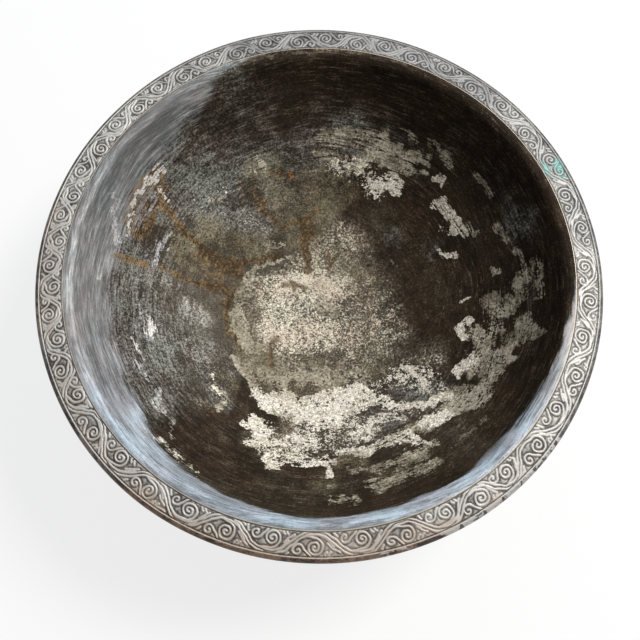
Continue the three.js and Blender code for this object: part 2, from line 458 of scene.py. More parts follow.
STAINS = {
    "tin": (
        # Front of the floor, upper lobe
        (13, 1.0, ((-28, -79), (-14, -84), (0, -84), (16, -83))),
        (12, 0.95, ((0, -80), (16, -74), (28, -73))),
        (8, 0.80, ((26, -68), (38, -73), (50, -76))),
        (3.5, 0.95, ((54, -79), (70, -80), (84, -80))),
        (6, 0.95, ((-45, -70), (-42, -76), (-34, -80))),
        (6, 0.66, ((3, -96), (11, -95))),
        # Front of the floor, lower left lobe
        (8, 1.0, ((-47, -95), (-43, -98))),
        (6, 0.75, ((-40, -104), (-44, -110))),
        (6, 0.70, ((-34, -122), (-30, -128))),
        (4, 0.66, ((-36, -112), (-28, -116))),
        # Arc at the foot of the front wall
        (6, 0.66, ((-20, -123), (-6, -124), (6, -124), (16, -117), (36, -116), (52, -109), (66, -104))),
        (3.5, 0.90, ((-14, -124), (-4, -125))),
        (3.5, 0.90, ((20, -117), (34, -117))),
        (4, 0.70, ((66, -106), (76, -112))),
        (5, 0.78, ((76, -95), (90, -89))),
        (4.5, 0.78, ((84, -75), (94, -75))),
        (5, 0.85, ((102, -56), (108, -50), (112, -47))),
        (4.5, 0.80, ((106, -19), (109, -27))),
        (3, 0.90, ((110, -14), (114, -18))),
        (3, 0.80, ((10, -130), (10, -134))),
        # Right of the back
        (7, 1.0, ((50, 97), (56, 98), (60, 94))),
        (4, 0.75, ((43, 96), (43, 88))),
        (3, 0.60, ((30, 112), (38, 113))),
        (2.5, 0.90, ((87, 96), (91, 95), (95, 92))),
        (4, 0.92, ((89, 77), (95, 75), (98, 69))),
        (4, 0.84, ((99, 68), (104, 62), (104, 56), (110, 52))),
        (2.6, 0.72, ((93, 42), (97, 39), (103, 36))),
        (2, 0.62, ((109, -1), (113, 1))),
        # Left wall
        (4, 0.76, ((-126, 80), (-120, 88))),
        (1.8, 0.76, ((-120, 76), (-116, 68))),
        (1.3, 0.80, ((-142, 35), (-141, 46), (-137, 60), (-129, 76))),
        (3, 0.62, ((-49, 112), (-44, 107))),
        (3, 0.60, ((-125, -22), (-121, -30))),
        (2.2, 0.62, ((-132, -42), (-129, -50))),
        (2.4, 0.56, ((-78, -56), (-74, -68), (-71, -72))),
        (1.5, 0.54, ((-112, -108), (-98, -120), (-84, -132), (-72, -142))),
        (1.6, 0.60, ((-157, -4), (-154, -2))),
    ),
    "film": (
        # Dull tin on the walls
        (8, 0.46, ((-133, 46), (-126, 68))),
        (4, 0.60, ((-121, 38), (-125, 22))),
        (3, 0.60, ((-65, 77), (-61, 74))),
        (5, 0.50, ((-126, -16), (-122, -34))),
        (4, 0.62, ((-125, -58), (-119, -68))),
        (4, 0.60, ((-112, -80), (-106, -93))),
        (3, 0.56, ((-130, -6), (-132, -18), (-133, -42))),
        (3, 0.56, ((-100, -101), (-94, -112))),
        (3, 0.56, ((-111, -111), (-98, -120), (-84, -132))),
        (6, 0.76, ((62, -103), (76, -97), (90, -88), (103, -81), (113, -74))),
        (6.5, 0.80, ((94, -84), (108, -83), (118, -72), (124, -58), (131, -50))),
        (5, 0.75, ((92, -74), (106, -69))),
        (7, 0.75, ((110, -56), (118, -47), (132, -47))),
        (10, 0.62, ((118, -38), (126, -28), (131, -14), (128, -4))),
        (6, 0.60, ((136, -42), (142, -34), (146, -24), (149, -38))),
        (5, 0.62, ((112, -30), (118, -36), (117, -24))),
        (6, 0.60, ((136, -14), (143, -5), (147, 6))),
        (4, 0.64, ((144, 28), (147, 16), (144, 4))),
        (3.5, 0.56, ((152, 20), (155, 4), (154, -10))),
        (7, 0.54, ((36, -142), (52, -139), (68, -131), (80, -125))),
        (5, 0.54, ((24, -131), (44, -128), (58, -124), (70, -119))),
        (3, 0.62, ((8, -152), (28, -151))),
        (2, 0.56, ((9, -143), (14, -143))),
        (4, 0.66, ((60, -118), (74, -114), (82, -109))),
        (2.4, 0.46, ((92, -116), (104, -106), (114, -96))),
        (6, 0.84, ((48, 112), (56, 108), (67, 108))),
        (7, 0.72, ((22, 110), (34, 114), (46, 118))),
        (3.5, 0.80, ((40, 122), (58, 118), (72, 112), (80, 108))),
        (2.4, 0.80, ((66, 105), (74, 102), (80, 99))),
        (2.4, 0.66, ((113, 57), (118, 48))),
        (3, 0.66, ((131, 50), (134, 44), (137, 38))),
        (2, 0.60, ((127, 21), (131, 17))),
        (3, 0.50, ((55, 37), (59, 33))),
        (2.5, 0.56, ((58, 0), (65, 1))),
        (7, 0.66, ((0, 128), (20, 128), (46, 124))),
        (4, 0.58, ((-4, 118), (14, 117))),
        (2.2, 0.62, ((62, 128), (72, 122))),
        (2.6, 0.60, ((82, 118), (92, 108), (99, 98))),
        (2.4, 0.54, ((112, 91), (118, 84), (125, 75))),
        (2.6, 0.56, ((44, 127), (50, 128))),
        (4, 0.62, ((-148, 58), (-150, 42), (-147, 26))),
        (3, 0.62, ((-113, 48), (-118, 36), (-124, 24))),
        (4, 0.52, ((-85, 78), (-78, 80))),
        (5, 0.60, ((-43, 49), (-32, 52))),
        (5, 0.60, ((-74, -68), (-68, -75), (-71, -86))),
        (3, 0.56, ((-113, -78), (-105, -95))),
        # Pale rim of the disc on the floor, and the lobe below it
        (3, 0.66, ((-20, 43), (-44, 36), (-58, 26), (-66, 8), (-68, -8), (-63, -24), (-54, -36))),
        (7, 0.58, ((-50, 26), (-60, 8), (-61, -8), (-56, -24), (-48, -36))),
        (2.4, 0.90, ((-62, -42), (-63, -49), (-56, -57), (-46, -66))),
        (7, 0.56, ((-56, -48), (-44, -58), (-28, -62))),
        (9, 0.66, ((2, 4), (8, -2))),
        (16, 0.60, ((-24, -52), (8, -56), (30, -58))),
    ),
    "scale": (
        # Crust on the disc of the floor
        (58, 0.36, ((-14, -12), (-8, -18))),
        (20, 0.40, ((-31, 8), (-6, 14), (-2, -16), (-29, -18))),
        (12, 0.40, ((-30, 18), (14, 20))),
        (22, 0.26, ((-8, 38), (10, 52))),
        (20, 0.18, ((12, 66), (30, 40))),
        (22, 0.21, ((40, 8), (38, -40))),
        (16, 0.15, ((30, 62), (46, 40), (58, 16), (56, -20))),
        (14, 0.16, ((62, -30), (86, -34))),
        (14, 0.24, ((88, -46), (62, -48))),
        (12, 0.36, ((-42, -106), (-30, -116))),
        (14, 0.34, ((-20, -106), (10, -104), (36, -98))),
        (10, 0.24, ((34, -92), (60, -86), (82, -88))),
        (12, 0.16, ((64, -16), (62, -6))),
        (14, 0.14, ((-98, 70), (-74, 90), (-48, 106))),
    ),
    "crust": (
        # Crumbs of bright tin on dark metal
        (14, 0.62, ((-38, -104), (-28, -114), (-14, -112))),
        (13, 0.52, ((-10, -104), (10, -106), (36, -100))),
        (9, 0.44, ((24, -90), (48, -88), (76, -86))),
        (12, 0.46, ((46, -64), (70, -58), (86, -68))),
        (12, 0.34, ((88, -46), (64, -48))),
        (30, 0.34, ((-20, 0), (-6, -24))),
        (18, 0.20, ((-8, 40), (10, 56))),
        (10, 0.30, ((48, 20), (58, -4))),
        (12, 0.44, ((10, 112), (30, 110), (44, 92))),
        (11, 0.27, ((-98, 70), (-80, 84), (-60, 96), (-46, 108))),
        (9, 0.32, ((-60, 68), (-40, 68))),
        (9, 0.34, ((-76, -52), (-72, -72))),
        (10, 0.24, ((-98, -30), (-92, 4))),
        (12, 0.32, ((112, -44), (112, -24))),
        (10, 0.30, ((98, 62), (106, 56))),
        (8, 0.30, ((96, 40), (104, 36))),
    ),
    "grey": (
        (32, 0.46, ((-104, 70), (-70, 92), (-34, 110))),
        (14, 0.45, ((-100, 70), (-72, 66), (-44, 68))),
        (22, 0.42, ((-124, 96), (-92, 124), (-50, 150))),
        (26, 0.70, ((-152, -60), (-160, -10), (-156, 50), (-140, 86))),
        (20, 0.46, ((-132, 24), (-134, -20), (-124, -60), (-104, -84))),
        (24, 0.26, ((-98, 0), (-98, -40))),
        (7, 0.40, ((-98, -6), (-92, -14))),
        (7, 0.36, ((-100, -36), (-92, -44))),
        (16, 0.40, ((-76, -46), (-68, -78))),
        (22, 0.26, ((-6, 150), (40, 146), (70, 132))),
        (24, 0.32, ((0, 130), (46, 120), (74, 106))),
        (14, 0.36, ((92, 48), (106, 38))),
        (20, 0.40, ((96, -60), (60, -72), (34, -98))),
        (18, 0.14, ((30, -142), (90, -118), (130, -78))),
        (15, 0.36, ((-112, -100), (-80, -124), (-50, -138))),
        (16, 0.38, ((104, 104), (126, 88), (146, 44))),
        (14, 0.38, ((140, -44), (152, 6), (146, 44))),
        (18, 0.34, ((52, 60), (32, 72))),
        (14, 0.42, ((36, 40), (52, 22))),
        (16, 0.36, ((58, -26), (92, -30))),
        (12, 0.34, ((60, 56), (84, 40))),
    ),
    "olive": (
        (15, 0.80, ((-86, 53), (-68, 51), (-50, 46))),
        (12, 0.66, ((-108, 44), (-100, 30))),
        (24, 0.60, ((-40, 92), (-16, 90), (4, 96))),
        (16, 0.55, ((-26, 60), (-4, 70))),
        (6, 0.90, ((-22, -92), (-16, -104), (-20, -116))),
        (4.5, 0.90, ((15, -123), (32, -120))),
        (3, 0.60, ((44, -111), (54, -107))),
        (16, 0.45, ((2, 24), (14, 36), (2, 48))),
        (20, 0.60, ((-46, -40), (-30, -56), (-8, -58))),
        (18, 0.55, ((34, 18), (26, 48))),
        (18, 0.45, ((40, -20), (44, -46))),
        (7, 0.70, ((-66, 12), (-68, -10), (-58, -34), (-46, -58))),
        (12, 0.45, ((-58, 96), (-40, 110))),
        (7, 0.60, ((-70, -60), (-62, -68))),
        (30, 0.30, ((-84, 20), (-60, 0))),
        # Olive cast low on the front wall and over the dark right of the floor
        (14, 0.28, ((10, -138), (50, -136), (90, -118), (118, -92))),
        (24, 0.22, ((40, 76), (76, 44), (96, 10))),
        (16, 0.24, ((-28, -142), (10, -150))),
    ),
    "rust": (
        (9, 0.92, ((-136, 44), (-130, 61), (-123, 77))),
        (3.0, 0.9, ((-124, 68), (-112, 60), (-99, 48), (-86, 38))),
        (6, 0.96, ((-88, 38), (-76, 32), (-66, 28))),
        (2.6, 0.94, ((-64, 33), (-48, 40), (-30, 42))),
        (13, 0.44, ((-90, 30), (-72, 24), (-82, 14))),
        (2.6, 0.50, ((-30, -86), (-18, -92))),
        (3.0, 0.50, ((-14, -106), (-6, -113))),
        (4, 0.56, ((-145, 18), (-130, 18))),
        (3, 0.54, ((-120, 20), (-94, 15), (-76, 12), (-70, 6))),
        (2.2, 0.80, ((-66, 12), (-72, 2), (-72, -12), (-66, -25), (-58, -36))),
        (7, 0.94, ((-11, 70), (-10, 63))),
        (4, 0.86, ((-13, 58), (-13, 48))),
        (4, 0.86, ((-11, 42), (-9, 32))),
        (3, 0.54, ((-53, 98), (-51, 86), (-44, 75), (-30, 68), (-14, 72), (-2, 82))),
        (7, 0.24, ((-40, 80), (-22, 80), (-8, 88))),
        (3, 0.70, ((-38, 103), (-24, 104))),
        (2.6, 0.62, ((-23, 24), (-22, 12))),
        (3.5, 0.55, ((-30, 20), (-14, 18))),
        (2.5, 0.60, ((6, 50), (7, 36), (14, 46))),
        (4, 0.52, ((-34, -24), (-38, -34), (-36, -52))),
        (2, 0.66, ((-32, -64), (-22, -73), (-6, -77))),
        (3, 0.50, ((-22, -66), (-30, -60))),
        (5, 0.35, ((-82, -82), (-76, -90))),
    ),
    "glow": (
        (2.5, 0.40, ((-138, 19), (-132, 19))),
        (2.5, 0.70, ((-28, 104), (-24, 105))),
        (5, 0.40, ((-137, 44), (-132, 42))),
        (5, 0.30, ((-60, 36), (-44, 40))),
        (3, 0.40, ((-22, 22), (-24, 8))),
    ),
    "soot": (
        (50, 0.85, ((58, 60), (84, 20), (78, -14))),
        (28, 0.74, ((20, 86), (50, 70))),
        (30, 0.70, ((92, 22), (112, -16))),
        (18, 0.60, ((56, -42), (84, -32))),
        (24, 0.84, ((-104, -104), (-70, -120), (-30, -142), (20, -148), (76, -130))),
        (16, 0.80, ((-66, -100), (-50, -118))),
        (18, 0.85, ((120, -98), (144, -54), (152, -10))),
        (26, 0.85, ((158, -6), (150, 60), (116, 104), (60, 138))),
        (14, 1.0, ((173, -20), (172, 20), (160, 64), (130, 114), (90, 148), (44, 168), (0, 174), (-50, 166))),
        (9, 0.70, ((128, -112), (150, -82), (166, -44), (172, -20))),
        (22, 0.66, ((-90, 128), (-40, 140), (30, 158), (80, 140))),
        (12, 0.75, ((-56, -66), (-50, -84), (-34, -92))),
        (9, 0.85, ((96, -58), (90, -50))),
        (7, 0.85, ((108, -66), (112, -78))),
        (12, 0.65, ((30, 104), (8, 108))),
        (10, 0.50, ((-34, 96), (-26, 100))),
        (12, 0.50, ((-70, 82), (-56, 88))),
        (10, 0.26, ((-78, -6), (-70, -46))),
        (10, 0.26, ((-110, -10), (-112, -34))),
    ),
    "verdigris": (
        (4.5, 0.85, ((168, 82), (171, 84))),
        (3.5, 0.65, ((172, 74), (168, 90))),
        (2.5, 0.80, ((159, 74), (156, 80))),
    ),
    "worn": (
        # Copper that shows through on the flange, the rolled edge and the back of the shoulder
        (9, 0.50, ((-70, -172), (-30, -184), (10, -186), (50, -180), (78, -170))),
        (6, 0.40, ((-10, -178), (30, -174), (60, -168))),
        (8, 0.40, ((-172, -70), (-156, -100), (-130, -134), (-100, -158))),
        (6, 0.30, ((110, -150), (140, -124))),
        (10, 0.40, ((-184, 40), (-186, -10), (-178, -50))),
        (6, 0.90, ((-118, -151), (-81, -173), (-49, -185), (-17, -191))),
        (6, 0.70, ((-17, -191), (24, -190), (56, -182))),
        (6, 0.45, ((56, -182), (90, -169), (112, -155))),
        (2.4, 0.70, ((60, 162), (30, 170), (0, 172.5), (-45, 166), (-66, 159))),
    ),
    "flaked": (
        (5, 0.45, ((44, -186), (90, -169))),
        (6, 0.62, ((86, -171), (123, -146), (153, -115))),
    ),
    "cracked": (
        # Splits across the rolled edge at the front
        (1.0, 0.95, ((86, -162), (93, -175))),
        (0.8, 0.90, ((100, -154), (108, -166))),
        (1.2, 0.95, ((112, -146), (121, -157))),
        (0.8, 0.90, ((124, -137), (133, -147))),
        (1.0, 0.95, ((134, -127), (144, -136))),
        (1.6, 1.0, ((147, -112), (157, -120))),
    ),
    "flange_shade": (
        # Painted shade that darkens the back and right of the flange
        (14, 0.40, ((182, 30), (160, 90), (120, 138))),
        (16, 0.85, ((120, 138), (60, 172), (0, 182), (-60, 172))),
        (14, 0.50, ((-60, 172), (-110, 146))),
    ),
}

INSIDE_STAINS = ("tin", "film", "scale", "crust", "grey", "olive", "rust", "glow", "soot", "worn")

# Band of smooth tin under the rim: bearing in degrees, then the radius of its inner edge and how slowly
# it fades in, both in millimetres
SMOOTH_BAND = (
    (-180, 148, 26), (-165, 149, 22), (-150, 150, 16), (-135, 155, 9), (-120, 160, 6), (-105, 163.5, 4),
    (-90, 165.5, 3), (-60, 165, 4), (-38, 164, 6), (-15, 169, 6), (0, 174, 5), (45, 178, 4), (90, 178, 4),
    (108, 173, 7), (122, 164, 19), (140, 152, 32), (160, 146, 30), (180, 148, 26),
)


# Wobbles that make the strokes and the band ragged: how slowly each varies and how far it reaches, in
# millimetres, and its seed
SLOW_WOBBLE = (13.0, 4.0, 3.0)
QUICK_WOBBLE = (4.5, 2.6, 9.0)
BAND_WOBBLE = (16.0, 5.0, 5.0)
# A stroke fades out this many times farther from its line than its half width
STROKE_SPREAD = 1.2
# A band that fades in over this many millimetres or more has its whole wobble, and a sharper one less of it
SOFT_BAND = 12
LEAST_BAND_WOBBLE = 0.2


def distance_to_line(x, y, points):
    """Distance from each place to a line of straight stretches, in the units of its points"""
    nearest = np.full(x.shape, np.inf)
    for (x0, y0), (x1, y1) in zip(points, points[1:]):
        run = max((x1 - x0) ** 2 + (y1 - y0) ** 2, TINY)
        share = np.clip(((x - x0) * (x1 - x0) + (y - y0) * (y1 - y0)) / run, 0, 1)
        nearest = np.minimum(nearest, np.hypot(x - x0 - share * (x1 - x0), y - y0 - share * (y1 - y0)))
    return nearest


def add_stains(data, points, names):
    """Stores how strongly each kind of stain, or of painted shade, lies on each vertex, from 0 to 1, with
    ragged outlines
    """
    x, y = points[:, 0] / MM, points[:, 1] / MM
    slow, quick = wobble(x, y, *SLOW_WOBBLE), wobble(x, y, *QUICK_WOBBLE)
    x, y = x + slow[0] + quick[0], y + slow[1] + quick[1]
    for name in names:
        bare = np.ones(x.shape)
        for half_width, strength, line in STAINS[name]:
            apart = distance_to_line(x, y, line) / (STROKE_SPREAD * half_width)
            bare *= 1 - strength * np.clip(1 - apart**2, 0, None)
        add_layer(data, name, 1 - bare)


def add_smooth_band(data, points):
    """Stores how far each vertex is inside the band of smooth tin under the rim"""
    x, y = points[:, 0] / MM, points[:, 1] / MM
    shift = wobble(x, y, *BAND_WOBBLE)
    bearing = np.degrees(np.arctan2(y, x))
    bearings, radii, fades = zip(*SMOOTH_BAND)
    edge, fade = np.interp(bearing, bearings, radii), np.interp(bearing, bearings, fades)
    r = np.hypot(x, y) + shift[0] * np.clip(fade / SOFT_BAND, LEAST_BAND_WOBBLE, 1)
    add_layer(data, "smooth", np.clip((r - edge) / fade + 0.5, 0, 1))


# The vine scroll of the flange. Its plan is a strip: s runs round the bowl from the front, to the right
# as seen from above, and t runs outwards from the shoulder. Both are in millimetres, and so are the sizes
# below, apart from shares and angles.

# Lengths of the waves of the stem as their maker spaced them by eye, round the bowl from the front
SCROLL_WAVES = (
    56, 52, 45, 60, 51, 51, 57, 53, 55, 47, 40, 47, 47, 42, 40, 43, 37, 34, 36, 39, 44, 57, 53, 57,
)
# Apart from one drawn point to the next, and the seed of the hand's unevenness
STEP = 0.25
HAND_SEED = 7
# Lines stand between this share of their full height and all of it
LEAST_LINE_HEIGHT = 0.86
# Room between the stem and the borders, and the share of a third wave that flattens its crests
STEM_ROOM = 1.8
STEM_FLATTENING = 0.06
# A wave this long or longer has spirals of full size
FULL_WAVE = 52
# Room between the border and the large and small spirals, and between the two
BIG_SPIRAL_ROOM = 1.2
SMALL_SPIRAL_ROOM = 1.4
SPIRAL_GAP = 1.2
# How far out from its middle a spiral ends
SPIRAL_EYE = 0.5
# Where the branch leaves the stem, as a share of the wave
BRANCH_START = 0.38
# Where the branch and the link run into their spirals, and where the leaves leave the large one, in degrees
BRANCH_ENTRY = 84
LINK_ENTRY = 28
LEAF_BEARINGS = (62, 18, -30)
# Heights of the link, the leaves, the short leaves, the strokes and the dots beside those of the branch
LINK_HEIGHT = 0.9
LEAF_HEIGHT = 0.75
SHORT_LEAF_HEIGHT = 0.7
STROKE_HEIGHT = 0.6
DOT_HEIGHT = 0.3
# A stroke beside the border, and a dot, each as steps along and out from its start
STROKE = ((0, 1.4), (0.5, 2.9), (1.6, 3.9))
DOT = ((0, 0.9), (0.6, 0.9))
# Least room under the stem for a stroke, and least height of a short leaf
STROKE_CLEARANCE = 7
SHORT_LEAF_LEAST = 2.2


class Scroll:
    """Lines of the vine scroll, drawn as points a quarter of a millimetre apart"""

    def __init__(self, sizes, width, round_length):
        self.pitch = sizes.pitch / MM
        self.big = sizes.big_spiral / MM
        self.small = sizes.small_spiral / MM
        self.width = width
        self.round_length = round_length
        self.stem_width = sizes.stem / MM
        self.random = random.Random(HAND_SEED)
        self.lines = []
        self.heights = []
        total = sum(SCROLL_WAVES)
        self.troughs = [0.0]
        for wave in SCROLL_WAVES:
            self.troughs.append(self.troughs[-1] + wave * round_length / total)
        self.low = STEM_ROOM
        self.high = width - STEM_ROOM
        self.draw()

    def jitter(self, size):
        return self.random.uniform(-size, size)

    def stem(self, s):
        """Height t of the middle of the stem at s, and its slope"""
        s %= self.round_length
        index = max(i for i, trough in enumerate(self.troughs[:-1]) if trough <= s)
        start, end = self.troughs[index], self.troughs[index + 1]
        phase = FULL_TURN * (s - start) / (end - start)
        level = (self.low + self.high) / 2
        swing = (self.high - self.low) / 2
        flat = STEM_FLATTENING
        t = level - swing * (math.cos(phase) - flat * math.cos(3 * phase)) / (1 - flat)
        rise = swing * (math.sin(phase) - 3 * flat * math.sin(3 * phase)) / (1 - flat)
        return t, rise * FULL_TURN / (end - start)

    def add(self, points, height=1.0):
        """Adds a line through these points, filled in at even steps, and how high it stands"""
        filled = []
        for (s0, t0), (s1, t1) in zip(points, points[1:]):
            steps = max(1, round(math.hypot(s1 - s0, t1 - t0) / STEP))
            filled += [(s0 + (s1 - s0) * i / steps, t0 + (t1 - t0) * i / steps) for i in range(steps)]
        self.lines += [*filled, points[-1]]
        self.heights += [height * self.random.uniform(LEAST_LINE_HEIGHT, 1.0)] * (len(filled) + 1)

    def curve(self, start, start_pull, end, end_pull, steps=14):
        """A smooth line that leaves start and reaches end along the given pulls"""
        points = []
        for i in range(steps + 1):
            u = i / steps
            a, b = 2 * u**3 - 3 * u**2 + 1, u**3 - 2 * u**2 + u
            c, d = 3 * u**2 - 2 * u**3, u**3 - u**2
            points.append(tuple(
                a * start[k] + b * start_pull[k] + c * end[k] + d * end_pull[k] for k in (0, 1)
            ))
        return points

    def spiral(self, centre, radius, start, side):
        """Winds in from radius, clockwise where side is -1, by one pitch a turn"""
        sweep = FULL_TURN * (radius - SPIRAL_EYE) / self.pitch
        steps = int(radius * sweep / 2 / STEP) + 8
        points = []
        for i in range(steps + 1):
            turn = sweep * i / steps
            reach = radius - self.pitch * turn / FULL_TURN
            along = start + side * turn
            points.append((centre[0] + reach * math.cos(along), centre[1] + reach * math.sin(along)))
        return points

    def cell(self, start, end, flip):
        """One half wave: the room between the stem and the border that the stem bends away from"""

        def place(s, t):
            return (s, self.width - t) if flip else (s, t)

        def under_stem(s):
            """Height of the stem's middle, seen from this cell's border"""
            t, slope = self.stem(s)
            return (self.width - t, -slope) if flip else (t, slope)

        span = end - start
        size = min(1.0, span / FULL_WAVE)
        big = self.big * min(1.0, 0.74 + 0.28 * size) + self.jitter(0.25)
        small = self.small * (0.72 + 0.28 * size) + self.jitter(0.25)
        middle = (start + end) / 2 + 0.02 * span + self.jitter(1.2)
        big_centre = (middle, BIG_SPIRAL_ROOM + big + self.jitter(0.3))
        small_centre = (
            middle - big - small - SPIRAL_GAP * size + self.jitter(0.4),
            SMALL_SPIRAL_ROOM + small + self.jitter(0.5),
        )

        # The branch leaves the stem near its crest and winds into the large spiral from the top
        leave = start + BRANCH_START * span
        t, slope = under_stem(leave)
        long = math.hypot(1, slope)
        off = 0.5 * self.stem_width
        root = (leave + off * slope / long, t - off / long)
        turn = math.radians(BRANCH_ENTRY)
        entry = (big_centre[0] + big * math.cos(turn), big_centre[1] + big * math.sin(turn))
        pull = 0.9 * math.hypot(entry[0] - root[0], entry[1] - root[1])
        branch = self.curve(
            root, (pull / long, pull * slope / long), entry, (pull * math.sin(turn), -pull * math.cos(turn))
        )
        branch += self.spiral(big_centre, big, turn, -1)[1:]
        self.add([place(*p) for p in branch])

        # From the border a line rises between the two spirals and winds over into the small one
        root = (big_centre[0] - 0.55 * big, BIG_SPIRAL_ROOM)
        turn = math.radians(LINK_ENTRY)
        entry = (small_centre[0] + small * math.cos(turn), small_centre[1] + small * math.sin(turn))
        pull = 1.1 * math.hypot(entry[0] - root[0], entry[1] - root[1])
        link = self.curve(
            root, (-0.5 * pull, 0.8 * pull), entry, (-pull * math.sin(turn), pull * math.cos(turn))
        )
        link += self.spiral(small_centre, small, turn, 1)[1:]
        self.add([place(*p) for p in link], LINK_HEIGHT)

        # A fan of leaves runs from the large spiral along under the stem, into the far corner
        for i, bearing in enumerate(LEAF_BEARINGS):
            turn = math.radians(bearing + self.jitter(6))
            reach = big + 0.92 * self.pitch
            root = (big_centre[0] + reach * math.cos(turn), max(1.3, big_centre[1] + reach * math.sin(turn)))
            s = end - span * (0.25 - 0.05 * i) + self.jitter(0.6)
            t, slope = under_stem(s)
            long = math.hypot(1, slope)
            off = 0.5 * self.stem_width + self.pitch * (0.5 + 0.25 * i)
            tip = (s + off * slope / long, t - off / long)
            if tip[0] > root[0] + 1.5 and tip[1] > 1.2:
                pull = math.hypot(tip[0] - root[0], tip[1] - root[1])
                leaf = self.curve(
                    root, (pull * math.sin(turn + 0.3), -pull * math.cos(turn + 0.3)),
                    tip, (pull / long, pull * slope / long),
                )
                self.add([place(*p) for p in leaf], LEAF_HEIGHT)

        # Short strokes and dots fill what room is left beside the border
        for i in range(2):
            s = big_centre[0] + big + self.pitch * (0.2 + 0.9 * i) + self.jitter(0.3)
            if under_stem(s)[0] > STROKE_CLEARANCE:
                self.add([place(s + along, out) for along, out in STROKE], STROKE_HEIGHT)
        for s in (big_centre[0] - 0.1 * big, big_centre[0] + 0.62 * big):
            self.add([place(s + along, out) for along, out in DOT], DOT_HEIGHT)

        # Short leaves in the near corner
        room = 1.0 + 0.5 * self.stem_width + 0.5 * self.pitch
        for i in range(2):
            s = small_centre[0] - small - self.pitch * (i + 0.9)
            top = under_stem(s)[0] - room
            if top > SHORT_LEAF_LEAST:
                leaf = [place(s - 0.8, 1.5), place(s - 0.2, (1.5 + top) / 2), place(s + 0.8, top)]
                self.add(leaf, SHORT_LEAF_HEIGHT)

    def draw(self):
        """Draws both edges of the stem, then what fills each half wave below and above it"""
        half = self.stem_width / 2
        steps = int(self.round_length / STEP)
        for side in (-half, half):
            edge = []
            for i in range(steps + 1):
                s = self.round_length * i / steps
                t, slope = self.stem(s)
                long = math.hypot(1, slope)
                edge.append((s - side * slope / long, t + side / long))
            self.add(edge)
        count = len(SCROLL_WAVES)
        for i in range(count):
            start, end = self.troughs[i], self.troughs[i + 1]
            self.cell(start, end, False)
            after = self.troughs[i + 2] if i + 2 <= count else self.round_length + self.troughs[1]
            self.cell((start + end) / 2, (end + after) / 2, True)

    def tree(self):
        """The points in a search tree, with those near the start repeated past the end"""
        margin = 20
        around = self.round_length
        points = [(s % around, t, i) for i, (s, t) in enumerate(self.lines)]
        points += [(s - around, t, i) for s, t, i in points if s > around - margin]
        points += [(s + around, t, i) for s, t, i in points if 0 <= s < margin]
        tree = kdtree.KDTree(len(points))
        for s, t, i in points:
            tree.insert((s, t, 0.0), i)
        tree.balance()
        return tree


# The relief of the flange. Heights are shares of its depth, and distances are in millimetres.

# How far the middle height of the relief lies below the flange
SUNK = 0.5
# The groove beside each border, from the plain edge on, the crest on the border itself, and the line that
# is rubbed bare beside the shoulder: height, place and spread
BORDER_GROOVE = (-1.4, 0.35, 0.36)
BORDER_CREST = (0.78, 0.25, 0.42)
RUBBED_LINE = (1.0, 0.25, 0.5)
# Where the scroll begins beside the groove and over what distance, and how much of the border it covers
SCROLL_START = 0.3
SCROLL_FADE = 0.8
SCROLL_COVER = 0.5
# At the very edge of the flange the relief ends over this distance
RELIEF_END = 0.35
# Wear of the relief round the bowl, as waves about its mean, and what is left of the relief at least
MEAN_WEAR = 0.8
WEAR_WAVES = ((3, 0.2, 1.0), (11, 0.12, 2.0), (37, 0.1, 0.0))
LEAST_RELIEF = 0.45
# The lines waver a little: how slowly, and how far
LINE_WOBBLE = (5.0, 0.7)


def relief_profile(distance, pitch):
    """Height over a line, from 1 on it to -1 in the groove beside it, and level ground farther off"""
    ground = -0.1
    crown, near, far = 0.08 * pitch, 0.45 * pitch, 0.9 * pitch
    fall = np.clip((distance - crown) / (near - crown), 0, 1)
    rise = np.clip((distance - near) / (far - near), 0, 1)
    return np.cos(math.pi * fall) + (1 + ground) * rise**2 * (3 - 2 * rise)


def ridge(distance, height, place, spread):
    """Height of a rounded ridge that lies at this place and spreads to both sides"""
    return height * np.exp(-(((distance - place) / spread) ** 2))


def raise_relief(points, section, sizes):
    """Moves points of the flange's upper face to the relief of the scroll.

    Returns the height of the relief at each, and how far each lies on the rubbed line.
    """
    inner_r, inner_z, heading = section.stations[section.flange_start]
    border_r = section.stations[section.border][0]
    width = (border_r - inner_r) / math.cos(heading) / MM
    middle = (inner_r + border_r) / 2 / MM
    scroll = Scroll(sizes, width, FULL_TURN * middle)
    tree, line_heights = scroll.tree(), np.array(scroll.heights)
    turn = (np.arctan2(points[:, 1], points[:, 0]) + math.pi / 2) % FULL_TURN
    s = turn * middle
    t = (np.hypot(points[:, 0], points[:, 1]) - inner_r) / math.cos(heading) / MM
    shift = wobble(points[:, 0] / MM, points[:, 1] / MM, *LINE_WOBBLE)
    found = [tree.find((a, b, 0.0)) for a, b in zip(s + shift[0], t + shift[1])]
    distance = np.array([place[2] for place in found])
    index = np.array([place[1] for place in found])
    pitch, border = sizes.pitch / MM, sizes.border / MM
    height = relief_profile(distance, pitch) * line_heights[index]
    edge = np.minimum(t, width - t)
    line = ridge(edge - border, *BORDER_GROOVE) + ridge(edge, *BORDER_CREST)
    cover = np.clip((edge - border - SCROLL_START) / SCROLL_FADE, 0, 1)
    height = height * cover + line * (1 - SCROLL_COVER * cover)
    wear = np.clip(MEAN_WEAR + waves(turn, WEAR_WAVES), LEAST_RELIEF, 1.0)
    lift = sizes.depth * (height - SUNK) * wear * np.clip(edge / RELIEF_END, 0, 1)
    points[:, 2] += lift * math.cos(heading)
    outward = -lift * math.sin(heading) / np.hypot(points[:, 0], points[:, 1])
    points[:, 0] += outward * points[:, 0]
    points[:, 1] += outward * points[:, 1]
    return height, ridge(t, *RUBBED_LINE)


# Node trees

# Ring coordinates lie on a circle of this radius, in metres, except nearer to the axis than the second one
RING_SCALE = 0.16
RING_MIDDLE = 0.004


